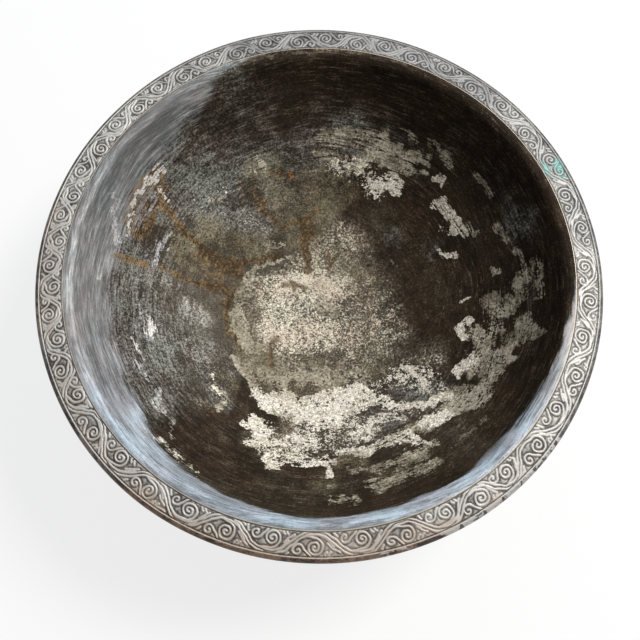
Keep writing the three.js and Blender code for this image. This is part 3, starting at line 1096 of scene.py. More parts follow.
class Graph:
    """Short calls for the nodes of one tree. A value is a number, a colour or another node's socket."""

    def __init__(self, tree):
        self.tree = tree

    def node(self, kind, values=None, **settings):
        """A new node, set out on a grid, with its values fed and its settings made"""
        made = self.tree.nodes.new(kind)
        count = len(self.tree.nodes)
        made.location = (count % 10 * 190, -(count // 10) * 230)
        for name, value in settings.items():
            setattr(made, name, value)
        for name, value in (values or {}).items():
            self.feed(made.inputs[name], value)
        return made

    def feed(self, socket, value):
        if isinstance(value, bpy.types.NodeSocket):
            self.tree.links.new(value, socket)
        else:
            socket.default_value = value

    def math(self, operation, a, b=0.0):
        return self.node("ShaderNodeMath", {0: a, 1: b}, operation=operation).outputs[0]

    def times(self, a, b):
        return self.math("MULTIPLY", a, b)

    def rest(self, value):
        """What is left of 1"""
        return self.math("SUBTRACT", 1.0, value)

    def most(self, first, *others):
        """The greatest of these values"""
        for value in others:
            first = self.math("MAXIMUM", first, value)
        return first

    def sum(self, *terms):
        """Adds up plain values and (weight, value) pairs"""
        total = None
        for term in terms:
            value = self.times(term[1], term[0]) if isinstance(term, tuple) else term
            total = value if total is None else self.math("ADD", total, value)
        return total

    def mix(self, share, a, b, blend_type="MIX"):
        made = self.node("ShaderNodeMix", data_type="RGBA", blend_type=blend_type)
        self.feed(made.inputs[0], share)
        self.feed(made.inputs[6], a)
        self.feed(made.inputs[7], b)
        return made.outputs[2]

    def coat(self, base, film, mask, strength):
        """Lays a film of another colour over the base where its mask shows it"""
        return self.mix(self.times(mask, strength), base, film)

    def tint(self, base, cast):
        return self.mix(1.0, base, cast, "MULTIPLY")

    def grey(self, value):
        return self.node("ShaderNodeCombineColor", {0: value, 1: value, 2: value}).outputs[0]

    def blend(self, share, a, b):
        """Mixes two plain numbers"""
        made = self.node("ShaderNodeMix", data_type="FLOAT")
        self.feed(made.inputs[0], share)
        self.feed(made.inputs[2], a)
        self.feed(made.inputs[3], b)
        return made.outputs[0]

    def step(self, value, low, high):
        """From 0 at low to 1 at high, smoothly"""
        values = {"Value": value, "From Min": low, "From Max": high}
        return self.node("ShaderNodeMapRange", values, interpolation_type="SMOOTHSTEP").outputs[0]

    def noise(self, vector, scale, detail, roughness, distortion=0.0):
        made = self.node("ShaderNodeTexNoise", {
            "Vector": vector, "Scale": scale, "Detail": detail, "Roughness": roughness,
            "Distortion": distortion,
        })
        return made.outputs[0]

    def vector(self, operation, *values):
        return self.node("ShaderNodeVectorMath", dict(enumerate(values)), operation=operation).outputs

    def place(self):
        return self.node("ShaderNodeTexCoord").outputs["Object"]

    def layer(self, name):
        """A number stored on the mesh"""
        return self.node("ShaderNodeAttribute", attribute_name=name).outputs["Fac"]

    def radius(self):
        """Distance from the axis of the bowl"""
        level = self.vector("MULTIPLY", self.place(), (1, 1, 0))[0]
        return self.vector("LENGTH", level)["Value"]

    def ring(self, stretch):
        """Coordinates that follow the turning of the bowl: along a ring in x and y, across it in z"""
        place = self.node("ShaderNodeSeparateXYZ", {0: self.place()}).outputs
        radius = self.radius()
        reach = self.times(self.math("MAXIMUM", radius, RING_MIDDLE), stretch)
        reach = self.math("DIVIDE", RING_SCALE, reach)
        ring = self.node("ShaderNodeCombineXYZ", {
            0: self.times(place[0], reach),
            1: self.times(place[1], reach),
            2: self.math("ADD", radius, place[2]),
        })
        return ring.outputs[0]

    def group(self, tree, **values):
        made = self.node("ShaderNodeGroup")
        made.node_tree = tree
        for name, value in values.items():
            self.feed(made.inputs[name.capitalize()], value)
        return made.outputs


# Effects that several finishes share, each a node group with named sockets

FLOAT = "NodeSocketFloat"


def new_group(name, inputs, outputs):
    """A node group of numbers, from the names and defaults of its inputs and the names of its outputs"""
    tree = bpy.data.node_groups.new(name, "ShaderNodeTree")
    for label, default in inputs.items():
        tree.interface.new_socket(name=label, in_out="INPUT", socket_type=FLOAT).default_value = default
    for label in outputs:
        tree.interface.new_socket(name=label, in_out="OUTPUT", socket_type=FLOAT)
    graph = Graph(tree)
    return tree, graph, graph.node("NodeGroupInput").outputs, graph.node("NodeGroupOutput").inputs


def scouring_group():
    """Fine scratches of scouring that run round the bowl, fading out at the middle of its floor"""
    tree, graph, given, out = new_group("scouring", {"Fineness": 1.0}, ("Marks", "Fine", "Broad"))
    slow = {"Vector": graph.place(), "Scale": 11.0, "Detail": 2.0}
    drift = graph.node("ShaderNodeTexNoise", slow).outputs["Color"]

    def swayed(stretch, sway):
        """Ring coordinates that stray a little, so that the scratches aren't true circles"""
        return graph.vector("MULTIPLY_ADD", drift, (0, 0, sway), graph.ring(stretch))[0]

    thin = graph.noise(swayed(14.0, 0.03), graph.times(given["Fineness"], 900.0), 3.0, 0.7)
    coarse = graph.noise(swayed(7.0, 0.012), graph.times(given["Fineness"], 380.0), 4.0, 0.7)
    broad = graph.noise(swayed(4.0, 0.012), 130.0, 6.0, 0.65)
    round_wall = graph.step(graph.radius(), 0.06, 0.12)

    def centred(value, strength):
        return graph.times(graph.times(graph.math("SUBTRACT", value, 0.5), strength), round_wall)

    marks = graph.step(graph.sum((0.55, thin), (0.45, coarse)), 0.56, 0.68)
    graph.feed(out["Marks"], graph.times(marks, round_wall))
    graph.feed(out["Fine"], graph.sum(centred(thin, 1.2), centred(coarse, 1.2)))
    graph.feed(out["Broad"], centred(broad, 2.0))
    return tree


def grit_group():
    """Unevenness at four sizes, each about -0.5 to 0.5, that breaks up the edges of the stains"""
    # Scale, detail, roughness and distortion of each
    sizes = {
        "Cloud": (38.0, 5.0, 0.55, 0.4),
        "Crumbs": (150.0, 4.0, 0.65, 0.3),
        "Grain": (540.0, 2.0, 0.6, 0.0),
        "Dust": (1000.0, 1.0, 0.5, 0.0),
    }
    tree, graph, given, out = new_group("grit", {"Shift": 0.0}, sizes)
    shift = graph.node("ShaderNodeCombineXYZ", {0: given["Shift"], 1: given["Shift"]}).outputs[0]
    place = graph.vector("ADD", graph.place(), shift)[0]
    for name, settings in sizes.items():
        value = graph.noise(place, *settings)
        graph.feed(out[name], graph.times(graph.math("SUBTRACT", value, 0.5), 2.0))
    return tree


def planishing_group():
    """Shallow marks of planishing, in rings round the bowl, as a height"""
    tree, graph, given, out = new_group("planishing", {"Size": 0.011}, ("Height",))
    blows = graph.node("ShaderNodeTexVoronoi", feature="SMOOTH_F1")
    graph.feed(blows.inputs["Vector"], graph.ring(1.0))
    graph.feed(blows.inputs["Scale"], graph.math("DIVIDE", 1.0, given["Size"]))
    graph.feed(blows.inputs["Smoothness"], 0.5)
    hollow = graph.times(blows.outputs["Distance"], blows.outputs["Distance"])
    slow = graph.noise(graph.place(), 30.0, 3.0, 0.5)
    graph.feed(out["Height"], graph.sum((0.5, hollow), (0.6, slow)))
    return tree


def pit_group():
    """Small corrosion pits of uneven size, as a mask"""
    tree, graph, given, out = new_group("pitting", {"Amount": 0.5}, ("Mask",))
    cells = graph.node("ShaderNodeTexVoronoi", {"Vector": graph.place(), "Scale": 260.0}, feature="F1")
    chance = graph.node("ShaderNodeSeparateColor", {0: cells.outputs["Color"]}).outputs[0]
    size = graph.times(graph.step(graph.sum(chance, given["Amount"]), 0.75, 1.3), 0.34)
    graph.feed(out["Mask"], graph.step(graph.math("SUBTRACT", size, cells.outputs["Distance"]), 0.0, 0.06))
    return tree


# Finishes. Numbers beside the kinds of unevenness are their weights.

# Where parts of the inside begin and are whole, in metres: across in x, back in y, or out from the axis
LEFT_HALF = (0.0, -0.07)
LEFT_WALL = (-0.085, -0.12)
# Where the bluish painted reflection on the smooth tin at the front begins and is whole
REFLECTION_FRONT = (-0.03, -0.12)
# Where the painted shade that dims the smooth tin at the back begins and is whole
SHADE_BACK_HALF = (0.0, 0.1)
SHADE_BACK_RIM = (0.17, 0.25)
BEHIND_MIDDLE = (0.0, 0.04)
WALL = (0.1, 0.125)


class InsideTin:
    """Worn and stained tin inside the basin, laid coat by coat over the bared metal.

    Each coat takes the colour so far and returns it with that coat on, and keeps the masks that the gloss
    and the bumps need.
    """

    def __init__(self, graph, colours, scour, grit, other, pits):
        self.graph = graph
        self.colours = colours
        self.marks = scour["Marks"]
        self.fine = scour["Fine"]
        self.broad = scour["Broad"]
        self.cloud = grit["Cloud"]
        self.crumbs = grit["Crumbs"]
        self.grain = grit["Grain"]
        self.dust = grit["Dust"]
        # The same kinds taken elsewhere, so that they don't fall in with the first
        self.haze = other["Cloud"]
        self.bits = other["Crumbs"]
        self.pits = pits
        self.layer = {name: graph.layer(name) for name in (*INSIDE_STAINS, "smooth")}
        place = graph.node("ShaderNodeSeparateXYZ", {0: graph.place()}).outputs
        self.x = place[0]
        self.y = place[1]
        self.left_side = graph.step(self.x, *LEFT_WALL)

    def left(self, amount, edge, *parts):
        """Where a layer is left, from its amount and the unevenness that wears it away"""
        return self.graph.step(self.graph.sum(amount, *parts), 0.5 - edge, 0.5 + edge)

    def flaked(self, name, low, high, *parts):
        """As left, for a stain that never shows outside its own outline"""
        amount = self.graph.times(self.layer[name], self.graph.sum(1.0, *parts))
        return self.graph.step(amount, low, high)

    def bared_metal(self):
        """Bare and blackened metal, less brown on the left, with pale flecks"""
        graph, colours = self.graph, self.colours
        west = graph.step(self.x, *LEFT_HALF)
        browned = self.left(0.5, 0.3, self.cloud, (0.4, self.crumbs), (-0.3, west))
        base = graph.mix(browned, colours.dark_metal, colours.brown_metal)
        self.soot = self.flaked("soot", 0.1, 0.75, (0.4, self.cloud), (0.3, self.crumbs), (0.4, self.broad))
        smoky = self.left(
            0.4, 0.7, (0.9, self.haze), (0.7, self.bits), (0.9, self.broad), (0.9, self.fine)
        )
        black = graph.coat(colours.black_metal, colours.brown_metal, smoky, 0.7)
        base = graph.coat(base, black, self.soot, 0.95)
        flecks = graph.sum(
            (0.9, self.fine), (0.6, self.broad), (0.6, self.grain), (0.6, self.dust), (0.6, self.bits)
        )
        return graph.coat(base, colours.deep_film, graph.step(flecks, 0.1, 0.8), 0.3)

    def thin_tin(self, base):
        """Grey film of thin tin, brushed and speckled"""
        graph, colours = self.graph, self.colours
        amount = graph.sum(0.07, self.layer["grey"], (-0.3, self.soot))
        uneven = graph.sum(1.0, (1.7, self.cloud), self.crumbs, (0.6, self.grain), self.broad, self.fine)
        self.grey = graph.step(graph.times(amount, uneven), 0.08, 0.72)
        tone = self.left(0.5, 0.6, self.grain, self.fine, (0.6, self.broad), (0.8, self.dust))
        film = graph.mix(tone, colours.deep_grey, colours.grey_tin)
        return graph.coat(base, film, self.grey, 0.9)

    def smooth_tin(self, base):
        """Smooth grey tin under the rim, with a bluish painted reflection at the front and painted shade at
        the back and on the left
        """
        graph, colours = self.graph, self.colours
        self.smooth = self.left(
            -0.4, 0.4, (1.8, self.layer["smooth"]), (0.5, self.broad), (0.6, self.fine), (0.2, self.haze)
        )
        # Painted reflection: the smooth tin turns bluish towards the front, for the cool light from behind
        # reflected there
        cool = graph.step(graph.sum(self.y, (0.02, self.haze)), *REFLECTION_FRONT)
        # Painted shade: the smooth tin is dimmed at the back of the rim
        behind = graph.step(graph.math("ADD", self.y, graph.math("ABSOLUTE", self.x)), *SHADE_BACK_RIM)
        behind = graph.times(behind, graph.step(self.y, *SHADE_BACK_HALF))
        # Painted shade: the smooth tin is dimmed on the left, except at the front
        painted_shade_left = graph.times(self.left_side, graph.rest(cool))
        # From dim to bright smooth tin: streaked by the scouring, and lowered by the painted shade
        streaks_and_painted_shade = self.left(0.62, 0.8, (1.8, self.fine), (1.2, self.broad), (-0.4, behind), (-0.3, painted_shade_left))
        film = graph.mix(streaks_and_painted_shade, colours.dim_tin, graph.mix(cool, colours.smooth_tin, colours.painted_blue_reflection))
        return graph.mix(self.smooth, base, film)

    def brown_shoulder(self, base):
        """Brown skin where the tin is worn off the back of the shoulder"""
        graph, colours = self.graph, self.colours
        worn = self.flaked("worn", 0.2, 0.9, (0.6, self.crumbs), (0.9, self.fine), (0.5, self.grain))
        tone = self.left(0.4, 0.6, self.crumbs, self.grain, self.fine)
        film = graph.mix(tone, colours.brown_metal, colours.shoulder_brown)
        return graph.coat(base, film, worn, 0.85)

    def olive_film(self, base):
        """Greenish brown film of old grease"""
        graph, colours = self.graph, self.colours
        self.olive = self.flaked(
            "olive", 0.05, 0.85, (0.5, self.haze), (0.5, self.crumbs), (0.4, self.grain)
        )
        tone = self.left(0.5, 0.6, (0.8, self.crumbs), (1.4, self.cloud), self.dust)
        film = graph.mix(tone, colours.deep_olive, colours.olive)
        return graph.coat(base, film, self.olive, 0.8)

    def lime_scale(self, base):
        """Pale scale on the floor, first an even veil and then specks, in a warm and a cool cast"""
        graph, colours = self.graph, self.colours
        patchy = ((0.6, self.haze), (0.7, self.bits))
        self.veil = self.flaked("scale", 0.05, 0.7, *patchy, (0.6, self.grain))
        tone = self.left(0.5, 0.7, (0.8, self.haze), self.grain)
        film = graph.mix(tone, colours.deep_scale, colours.mild_scale)
        base = graph.coat(base, film, self.veil, 0.85)
        self.speck = self.flaked("scale", 0.32, 0.72, *patchy, self.grain, (1.1, self.dust))
        film = graph.coat(colours.scale, colours.olive, self.olive, 0.35)
        base = graph.coat(base, film, self.speck, 0.8)
        cool = self.left(0.5, 0.4, self.cloud, (-0.8, self.haze))
        return graph.tint(base, graph.mix(cool, colours.warm_cast, colours.cool_cast))

    def rust(self, base):
        """Rust, paler where it is thin and on the left wall, and orange in a few places"""
        graph, colours = self.graph, self.colours
        self.stain = self.flaked(
            "rust", 0.16, 0.62, (0.4, self.haze), (0.5, self.crumbs), (0.4, self.grain), (0.7, self.fine)
        )
        thin = self.left(
            0.6, 0.5, (-0.5, self.layer["rust"]), (0.44, self.left_side), self.crumbs, self.grain,
            (1.6, self.fine),
        )
        film = graph.mix(thin, colours.rust, colours.pale_rust)
        glow = self.flaked("glow", 0.3, 0.9, self.crumbs, self.grain)
        film = graph.mix(glow, film, colours.orange_rust)
        return graph.coat(base, film, self.stain, 0.85)

    def flakes_of_tin(self, base):
        """Dull tin, crumbs of tin and then sound tin, all sharp at their edges and pitted"""
        graph, colours = self.graph, self.colours
        back_wall = graph.times(graph.step(graph.radius(), *WALL), graph.step(self.y, *BEHIND_MIDDLE))
        streaked = graph.most(self.left_side, back_wall)
        streaks = graph.times(graph.sum((2.2, self.fine), self.broad), streaked)
        streaks = graph.sum(self.broad, self.fine, streaks)
        wear = ((0.8, self.cloud), (1.1, self.crumbs), (0.8, self.grain), (0.4, self.dust), streaks)
        whole = graph.rest(graph.times(self.pits, 0.85))
        others = (self.haze, self.bits, self.grain)

        self.dull = graph.times(self.flaked("film", 0.34, 0.58, *wear), whole)
        clean = self.left(-0.5, 0.55, (1.5, self.layer["film"]), *others, self.fine)
        film = graph.mix(clean, colours.deep_film, colours.dull_tin)
        grey_film = graph.mix(clean, colours.dim_tin, colours.smooth_tin)
        film = graph.coat(film, grey_film, self.left_side, 0.8)
        film = graph.coat(film, colours.olive, self.olive, 0.5)
        base = graph.coat(base, film, self.dull, 0.9)

        crumb = self.flaked(
            "crust", 0.42, 0.62, (0.8, self.cloud), (1.4, self.crumbs), (1.3, self.grain), (0.7, self.dust)
        )
        clean = self.left(self.layer["crust"], 0.5, self.bits, self.dust)
        base = graph.coat(base, graph.mix(clean, colours.dull_tin, colours.bright_tin), crumb, 0.85)

        self.tin = graph.times(self.flaked("tin", 0.42, 0.54, *wear), whole)
        clean = self.left(self.layer["tin"], 0.6, *others, self.dust, -0.2)
        film = graph.mix(clean, colours.dull_tin, colours.bright_tin)
        film = graph.coat(film, colours.olive, self.olive, 0.6)
        film = graph.coat(film, colours.smooth_tin, self.left_side, 0.5)
        return graph.mix(self.tin, base, film)

    def scratches(self, base):
        """Pale scratches, and light and dark from the unevenness, less of it on the smooth tin"""
        graph = self.graph
        base = graph.coat(base, self.colours.grey_tin, self.marks, 0.28)
        tone = graph.sum(
            (1.1, self.fine), (0.8, self.grain), (0.8, self.dust), (0.4, self.crumbs), (0.35, self.cloud)
        )
        self.unsmooth = graph.rest(graph.times(self.smooth, 0.7))
        return graph.tint(base, graph.grey(graph.sum(1.0, graph.times(tone, self.unsmooth))))

    def metallic(self):
        graph = self.graph
        metal = graph.blend(graph.times(self.grey, 0.5), 0.2, 0.55)
        metal = graph.blend(self.smooth, metal, 0.45)
        covered = graph.most(self.tin, self.dull, self.stain, self.olive, self.veil, self.soot)
        return graph.blend(covered, metal, 0.12)

    def roughness(self):
        graph = self.graph
        covered = graph.most(self.tin, self.dull, self.stain, self.olive, self.soot)
        smooth_left = graph.times(self.left_side, self.smooth)
        return graph.sum(
            graph.blend(covered, 0.5, 0.7), (-0.17, self.smooth), (0.1, self.grain), (0.26, smooth_left),
            (-0.08, self.marks),
        )

    def height(self):
        """Height of the coats and the unevenness, in millimetres"""
        graph = self.graph
        height = graph.sum(
            (0.07, graph.most(self.tin, self.dull)), (0.025, self.fine), (0.03, self.grain),
            (0.04, self.crumbs), (0.03, self.speck), (-0.08, self.pits),
        )
        return graph.times(height, self.unsmooth)


class Finishes:
    """The materials of the bowl, and the node groups that they share, each of which is built once"""

    def __init__(self, colours):
        self.colours = colours
        built = bpy.data.node_groups
        self.scouring = built.get("scouring") or scouring_group()
        self.grit = built.get("grit") or grit_group()
        self.planishing = built.get("planishing") or planishing_group()
        self.pitting = built.get("pitting") or pit_group()

    def material(self, name):
        """A new material, its graph and the inputs of its shader"""
        material = bpy.data.materials.new(name)
        material.use_nodes = True
        tree = material.node_tree
        return material, Graph(tree), tree.nodes["Principled BSDF"].inputs

    def surface(self, graph, shader, base, metallic, roughness, height):
        """Feeds the shader with a colour, two numbers and a height in millimetres"""
        graph.feed(shader["Base Color"], base)
        graph.feed(shader["Metallic"], metallic)
        graph.feed(shader["Roughness"], roughness)
        bump = graph.node("ShaderNodeBump", {"Height": height, "Distance": MM, "Strength": 1.0})
        graph.feed(shader["Normal"], bump.outputs[0])

    def inside(self):
        """Worn and stained tin inside the basin"""
        material, graph, shader = self.material("worn_tin_inside")
        coats = InsideTin(
            graph, self.colours, graph.group(self.scouring, fineness=1.0), graph.group(self.grit, shift=0.0),
            graph.group(self.grit, shift=0.7), graph.group(self.pitting, amount=0.3)["Mask"],
        )
        base = coats.bared_metal()
        base = coats.thin_tin(base)
        base = coats.smooth_tin(base)
        base = coats.brown_shoulder(base)
        base = coats.olive_film(base)
        base = coats.lime_scale(base)
        base = coats.rust(base)
        base = coats.flakes_of_tin(base)
        base = coats.scratches(base)
        self.surface(graph, shader, base, coats.metallic(), coats.roughness(), coats.height())
        shader["Specular IOR Level"].default_value = 0.14
        return material

    def outside(self):
        """Brown copper with the remains of its tinning, hammered, for the underside of the bowl"""
        colours = self.colours
        material, graph, shader = self.material("aged_copper_outside")
        scour = graph.group(self.scouring, fineness=0.8)
        grit = graph.group(self.grit, shift=0.3)
        slow = graph.group(self.grit, shift=0.8)["Cloud"]
        browned = graph.step(graph.sum(slow, (0.6, grit["Crumbs"])), -0.4, 0.4)
        copper = graph.mix(browned, colours.copper, colours.brown_metal)
        darkened = graph.step(graph.sum(grit["Grain"], scour["Fine"]), -0.3, 0.7)
        copper = graph.mix(darkened, copper, colours.dark_metal)
        level = graph.sum(
            0.5, (1.1, grit["Cloud"]), (0.8, grit["Crumbs"]), (0.5, grit["Grain"]), (0.8, scour["Broad"]),
            (0.8, scour["Fine"]),
        )
        tin = graph.step(level, 0.3, 0.9)
        base = graph.coat(copper, colours.grey_tin, tin, 0.75)
        soot = graph.step(graph.sum(slow, (0.7, grit["Cloud"]), (0.5, grit["Crumbs"])), 0.0, 0.6)
        base = graph.coat(base, colours.black_metal, soot, 0.6)
        base = graph.coat(base, colours.bright_tin, scour["Marks"], 0.2)
        metallic = graph.blend(tin, 0.5, 0.65)
        roughness = graph.sum(0.5, (0.15, grit["Grain"]), (0.15, soot))
        blows = graph.group(self.planishing, size=0.013)["Height"]
        height = graph.sum((0.35, blows), (0.03, grit["Grain"]), (-0.02, scour["Marks"]))
        self.surface(graph, shader, base, metallic, roughness, height)
        return material

    def relief(self):
        """The flange: rubbed tin on the raised lines and dirt in the sunk ones, with painted shade at its
        back and right
        """
        colours = self.colours
        material, graph, shader = self.material("scroll_relief_tin")
        grit = graph.group(self.grit, shift=0.5)
        relief = graph.layer("relief")
        uneven = graph.sum((0.9, grit["Grain"]), (0.8, grit["Crumbs"]), (0.8, grit["Cloud"]))
        raised = graph.step(graph.sum(relief, uneven), -1.1, 0.7)
        base = graph.mix(raised, colours.relief_dark, colours.relief_light)
        # Painted shade: a grey tint darkens the back and right of the flange
        base = graph.coat(base, graph.tint(base, colours.painted_flange_shade), graph.layer("flange_shade"), 1.1)
        worn = graph.times(graph.layer("worn"), graph.sum(1.0, (0.4, relief), uneven))
        base = graph.coat(base, graph.tint(base, colours.brown_cast), graph.step(worn, 0.1, 0.9), 0.55)
        rubbed = graph.times(graph.layer("rubbed"), graph.sum(0.8, (0.5, grit["Crumbs"])))
        base = graph.mix(rubbed, base, colours.rubbed_line)
        green = graph.times(graph.layer("verdigris"), graph.sum(1.0, uneven))
        green = graph.times(graph.step(green, 0.1, 0.8), 0.6)
        base = graph.mix(green, base, graph.mix(0.35, colours.verdigris, base, "MULTIPLY"))
        metallic = graph.blend(green, 0.18, 0.0)
        roughness = graph.sum(0.56, (0.1, grit["Grain"]), (-0.05, relief))
        height = graph.sum((0.05, grit["Grain"]), (0.06, grit["Crumbs"]))
        self.surface(graph, shader, base, metallic, roughness, height)
        return material

    def edge(self):
        """Rolled edge: dark tin, rubbed through to brown copper, and flaked and split at the front"""
        colours = self.colours
        material, graph, shader = self.material("rubbed_edge")
        scour = graph.group(self.scouring, fineness=1.0)
        grit = graph.group(self.grit, shift=0.9)
        uneven = graph.sum(
            1.0, (0.6, grit["Grain"]), (1.2, grit["Crumbs"]), (0.7, grit["Cloud"]), (1.6, scour["Fine"])
        )
        base = graph.mix(graph.step(uneven, 0.4, 1.8), colours.deep_grey, colours.grey_tin)
        streaks = graph.sum((0.8, grit["Crumbs"]), (1.4, scour["Fine"]), (0.5, grit["Grain"]))
        copper = graph.mix(graph.step(streaks, -0.6, 0.5), colours.brown_metal, colours.worn_copper)
        brown = graph.step(graph.times(graph.layer("worn"), uneven), 0.1, 0.8)
        base = graph.coat(base, copper, brown, 0.9)
        flakes = graph.step(graph.times(graph.layer("flaked"), uneven), 0.35, 0.65)
        base = graph.coat(base, colours.relief_light, flakes, 0.85)
        split = graph.step(graph.times(graph.layer("cracked"), uneven), 0.25, 0.6)
        base = graph.coat(base, colours.dark_metal, split, 0.85)
        metallic = graph.sum(0.4, (-0.1, grit["Grain"]))
        roughness = graph.sum(0.5, (0.15, grit["Grain"]))
        height = graph.sum(
            (0.05, grit["Grain"]), (0.12, grit["Crumbs"]), (-0.02, scour["Marks"]), (0.15, flakes),
            (-0.3, split),
        )
        self.surface(graph, shader, base, metallic, roughness, height)
        return material

    def bare_copper(self):
        """The foot: brown copper with thin remains of tin, darker in its grain"""
        colours = self.colours
        material, graph, shader = self.material("bare_copper_foot")
        scour = graph.group(self.scouring, fineness=1.0)
        grit = graph.group(self.grit, shift=0.9)
        base = graph.mix(graph.step(grit["Cloud"], -0.3, 0.3), colours.copper, colours.brown_metal)
        tin = graph.sum(grit["Cloud"], (0.8, grit["Crumbs"]), (0.6, grit["Grain"]), (0.6, scour["Broad"]))
        base = graph.coat(base, colours.grey_tin, graph.step(tin, -0.1, 0.7), 0.6)
        base = graph.coat(base, colours.dark_metal, graph.step(grit["Grain"], -0.2, 0.5), 0.5)
        metallic = graph.sum(0.65, (-0.1, grit["Grain"]))
        roughness = graph.sum(0.45, (0.15, grit["Grain"]))
        blows = graph.group(self.planishing, size=0.009)["Height"]
        height = graph.sum((0.16, blows), (0.03, grit["Grain"]), (-0.02, scour["Marks"]))
        self.surface(graph, shader, base, metallic, roughness, height)
        return material

    def solder(self):
        """Dull solder with dark crumbs"""
        colours = self.colours
        material, graph, shader = self.material("soft_solder")
        grit = graph.group(self.grit, shift=0.2)
        clean = graph.step(graph.sum(grit["Crumbs"], grit["Grain"]), -0.4, 0.4)
        base = graph.mix(clean, colours.dark_metal, colours.solder)
        metallic = graph.sum(0.65, (-0.15, grit["Grain"]))
        roughness = graph.sum(0.5, (0.15, grit["Grain"]))
        height = graph.sum((0.25, grit["Crumbs"]), (0.04, grit["Grain"]))
        self.surface(graph, shader, base, metallic, roughness, height)
        return material

    def wire(self):
        """Iron, rusted in its grain"""
        colours = self.colours
        material, graph, shader = self.material("rusted_iron_wire")
        grit = graph.group(self.grit, shift=0.1)
        rusted = graph.step(graph.sum(grit["Grain"], grit["Dust"]), -0.2, 0.3)
        base = graph.mix(rusted, colours.iron, colours.rust)
        metallic = graph.sum(0.3, (-0.2, grit["Grain"]))
        roughness = graph.sum(0.75, (0.15, grit["Dust"]))
        self.surface(graph, shader, base, metallic, roughness, graph.times(grit["Dust"], 0.1))
        return material


# Operators

# Share of the sheet's thickness within which a point counts as one of the flange's upper face
UPPER_FACE = 0.3
# How far the solder is sunk into what it joins, and the height of its lumps
SOLDER_SUNK = 0.1 * MM
SOLDER_LUMP = 0.12 * MM
# How hollow the faces of the outer and inner fillets of solder are: 1 is straight
OUTER_HOLLOW = 1.8
INNER_HOLLOW = 1.9
# How far the outer solder reaches over the collar, as a share of its reach, and how high it stands there,
# as a share of the collar's height
SOLDER_OVER_COLLAR = 0.2
SOLDER_START = 0.8


class BOWL_OT_basin(bpy.types.Operator):
    """Raise the basin: its floor, wall and shoulder, inside and outside"""

    bl_idname = "bowl.basin"
    bl_label = "Basin"
    bl_options = {"REGISTER", "UNDO"}

    def execute(self, context):
        sizes = context.scene.bowl_sizes
        section = bowl_section(sizes)
        upper = section.face(0.0, 0, section.flange_start)
        lower = section.face(-sizes.sheet, 0, section.flange_start, BASIN_UNDER_STEP)
        mesh = turned([*upper, *reversed(lower)], BASIN_COLUMNS, closed=False)
        finishes = Finishes(context.scene.bowl_colours)
        piece = add_piece(
            "bowl_basin", mesh, replaces=["bowl_body"],
            materials=[finishes.inside(), finishes.outside()],
        )
        part_upper_faces(piece.data)
        points = get_points(piece.data)
        add_stains(piece.data, points, INSIDE_STAINS)
        add_smooth_band(piece.data, points)
        make_uneven(points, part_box("bowl_body")[1].x)
        set_points(piece.data, points)
        return {"FINISHED"}


class BOWL_OT_flange(bpy.types.Operator):
    """Work the flange with its vine scroll, in two half rings of fine mesh"""

    bl_idname = "bowl.flange"
    bl_label = "Scroll flange"
    bl_options = {"REGISTER", "UNDO"}

    def execute(self, context):
        sizes = context.scene.bowl_sizes
        section = bowl_section(sizes)
        first, last = section.flange_start, section.border
        upper = section.face(0.0, first, last)
        lower = section.face(-sizes.sheet, first, last, FLANGE_UNDER_STEP)
        inner_r, inner_z, heading = section.stations[first]
        finishes = Finishes(context.scene.bowl_colours)
        materials = [finishes.relief(), finishes.outside()]
        for name, start in (("flange_front", -math.pi), ("flange_back", 0.0)):
            mesh = turned([*upper, *reversed(lower)], HALF_FLANGE_COLUMNS, math.pi, start)
            piece = add_piece(
                name, mesh, replaces=["bowl_body"], materials=materials
            )
            part_upper_faces(piece.data)
            points = get_points(piece.data)
            # The flange keeps its verdigris, its worn copper and its painted shade
            add_stains(piece.data, points, ("verdigris", "worn", "flange_shade"))
            radius = np.hypot(points[:, 0], points[:, 1])
            level = inner_z + (radius - inner_r) * math.tan(heading)
            top = np.abs(points[:, 2] - level) < UPPER_FACE * sizes.sheet
            heights, rubbed = np.zeros(len(points)), np.zeros(len(points))
            raised = points[top]
            heights[top], rubbed[top] = raise_relief(raised, section, context.scene.bowl_scroll)
            points[top] = raised
            add_layer(piece.data, "relief", heights)
            add_layer(piece.data, "rubbed", rubbed)
            make_uneven(points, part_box("bowl_body")[1].x)
            set_points(piece.data, points)
        return {"FINISHED"}


class BOWL_OT_rolled_edge(bpy.types.Operator):
    """Roll the outer edge of the flange over its wire"""

    bl_idname = "bowl.rolled_edge"
    bl_label = "Rolled edge"
    bl_options = {"REGISTER", "UNDO"}

    def execute(self, context):
        sizes = context.scene.bowl_sizes
        section = bowl_section(sizes)
        outer = section.face(0.0, section.border)
        inner = section.face(-sizes.sheet, section.border, None, ROLL_UNDER_STEP)
        mesh = turned([*outer, *reversed(inner)], ROLL_COLUMNS)
        finish = Finishes(context.scene.bowl_colours).edge()
        piece = add_piece(
            "rolled_edge", mesh, replaces=["bowl_body"], materials=[finish]
        )
        points = get_points(piece.data)
        add_stains(piece.data, points, ("worn", "flaked", "cracked"))
        make_uneven(points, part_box("bowl_body")[1].x)
        set_points(piece.data, points)
        return {"FINISHED"}


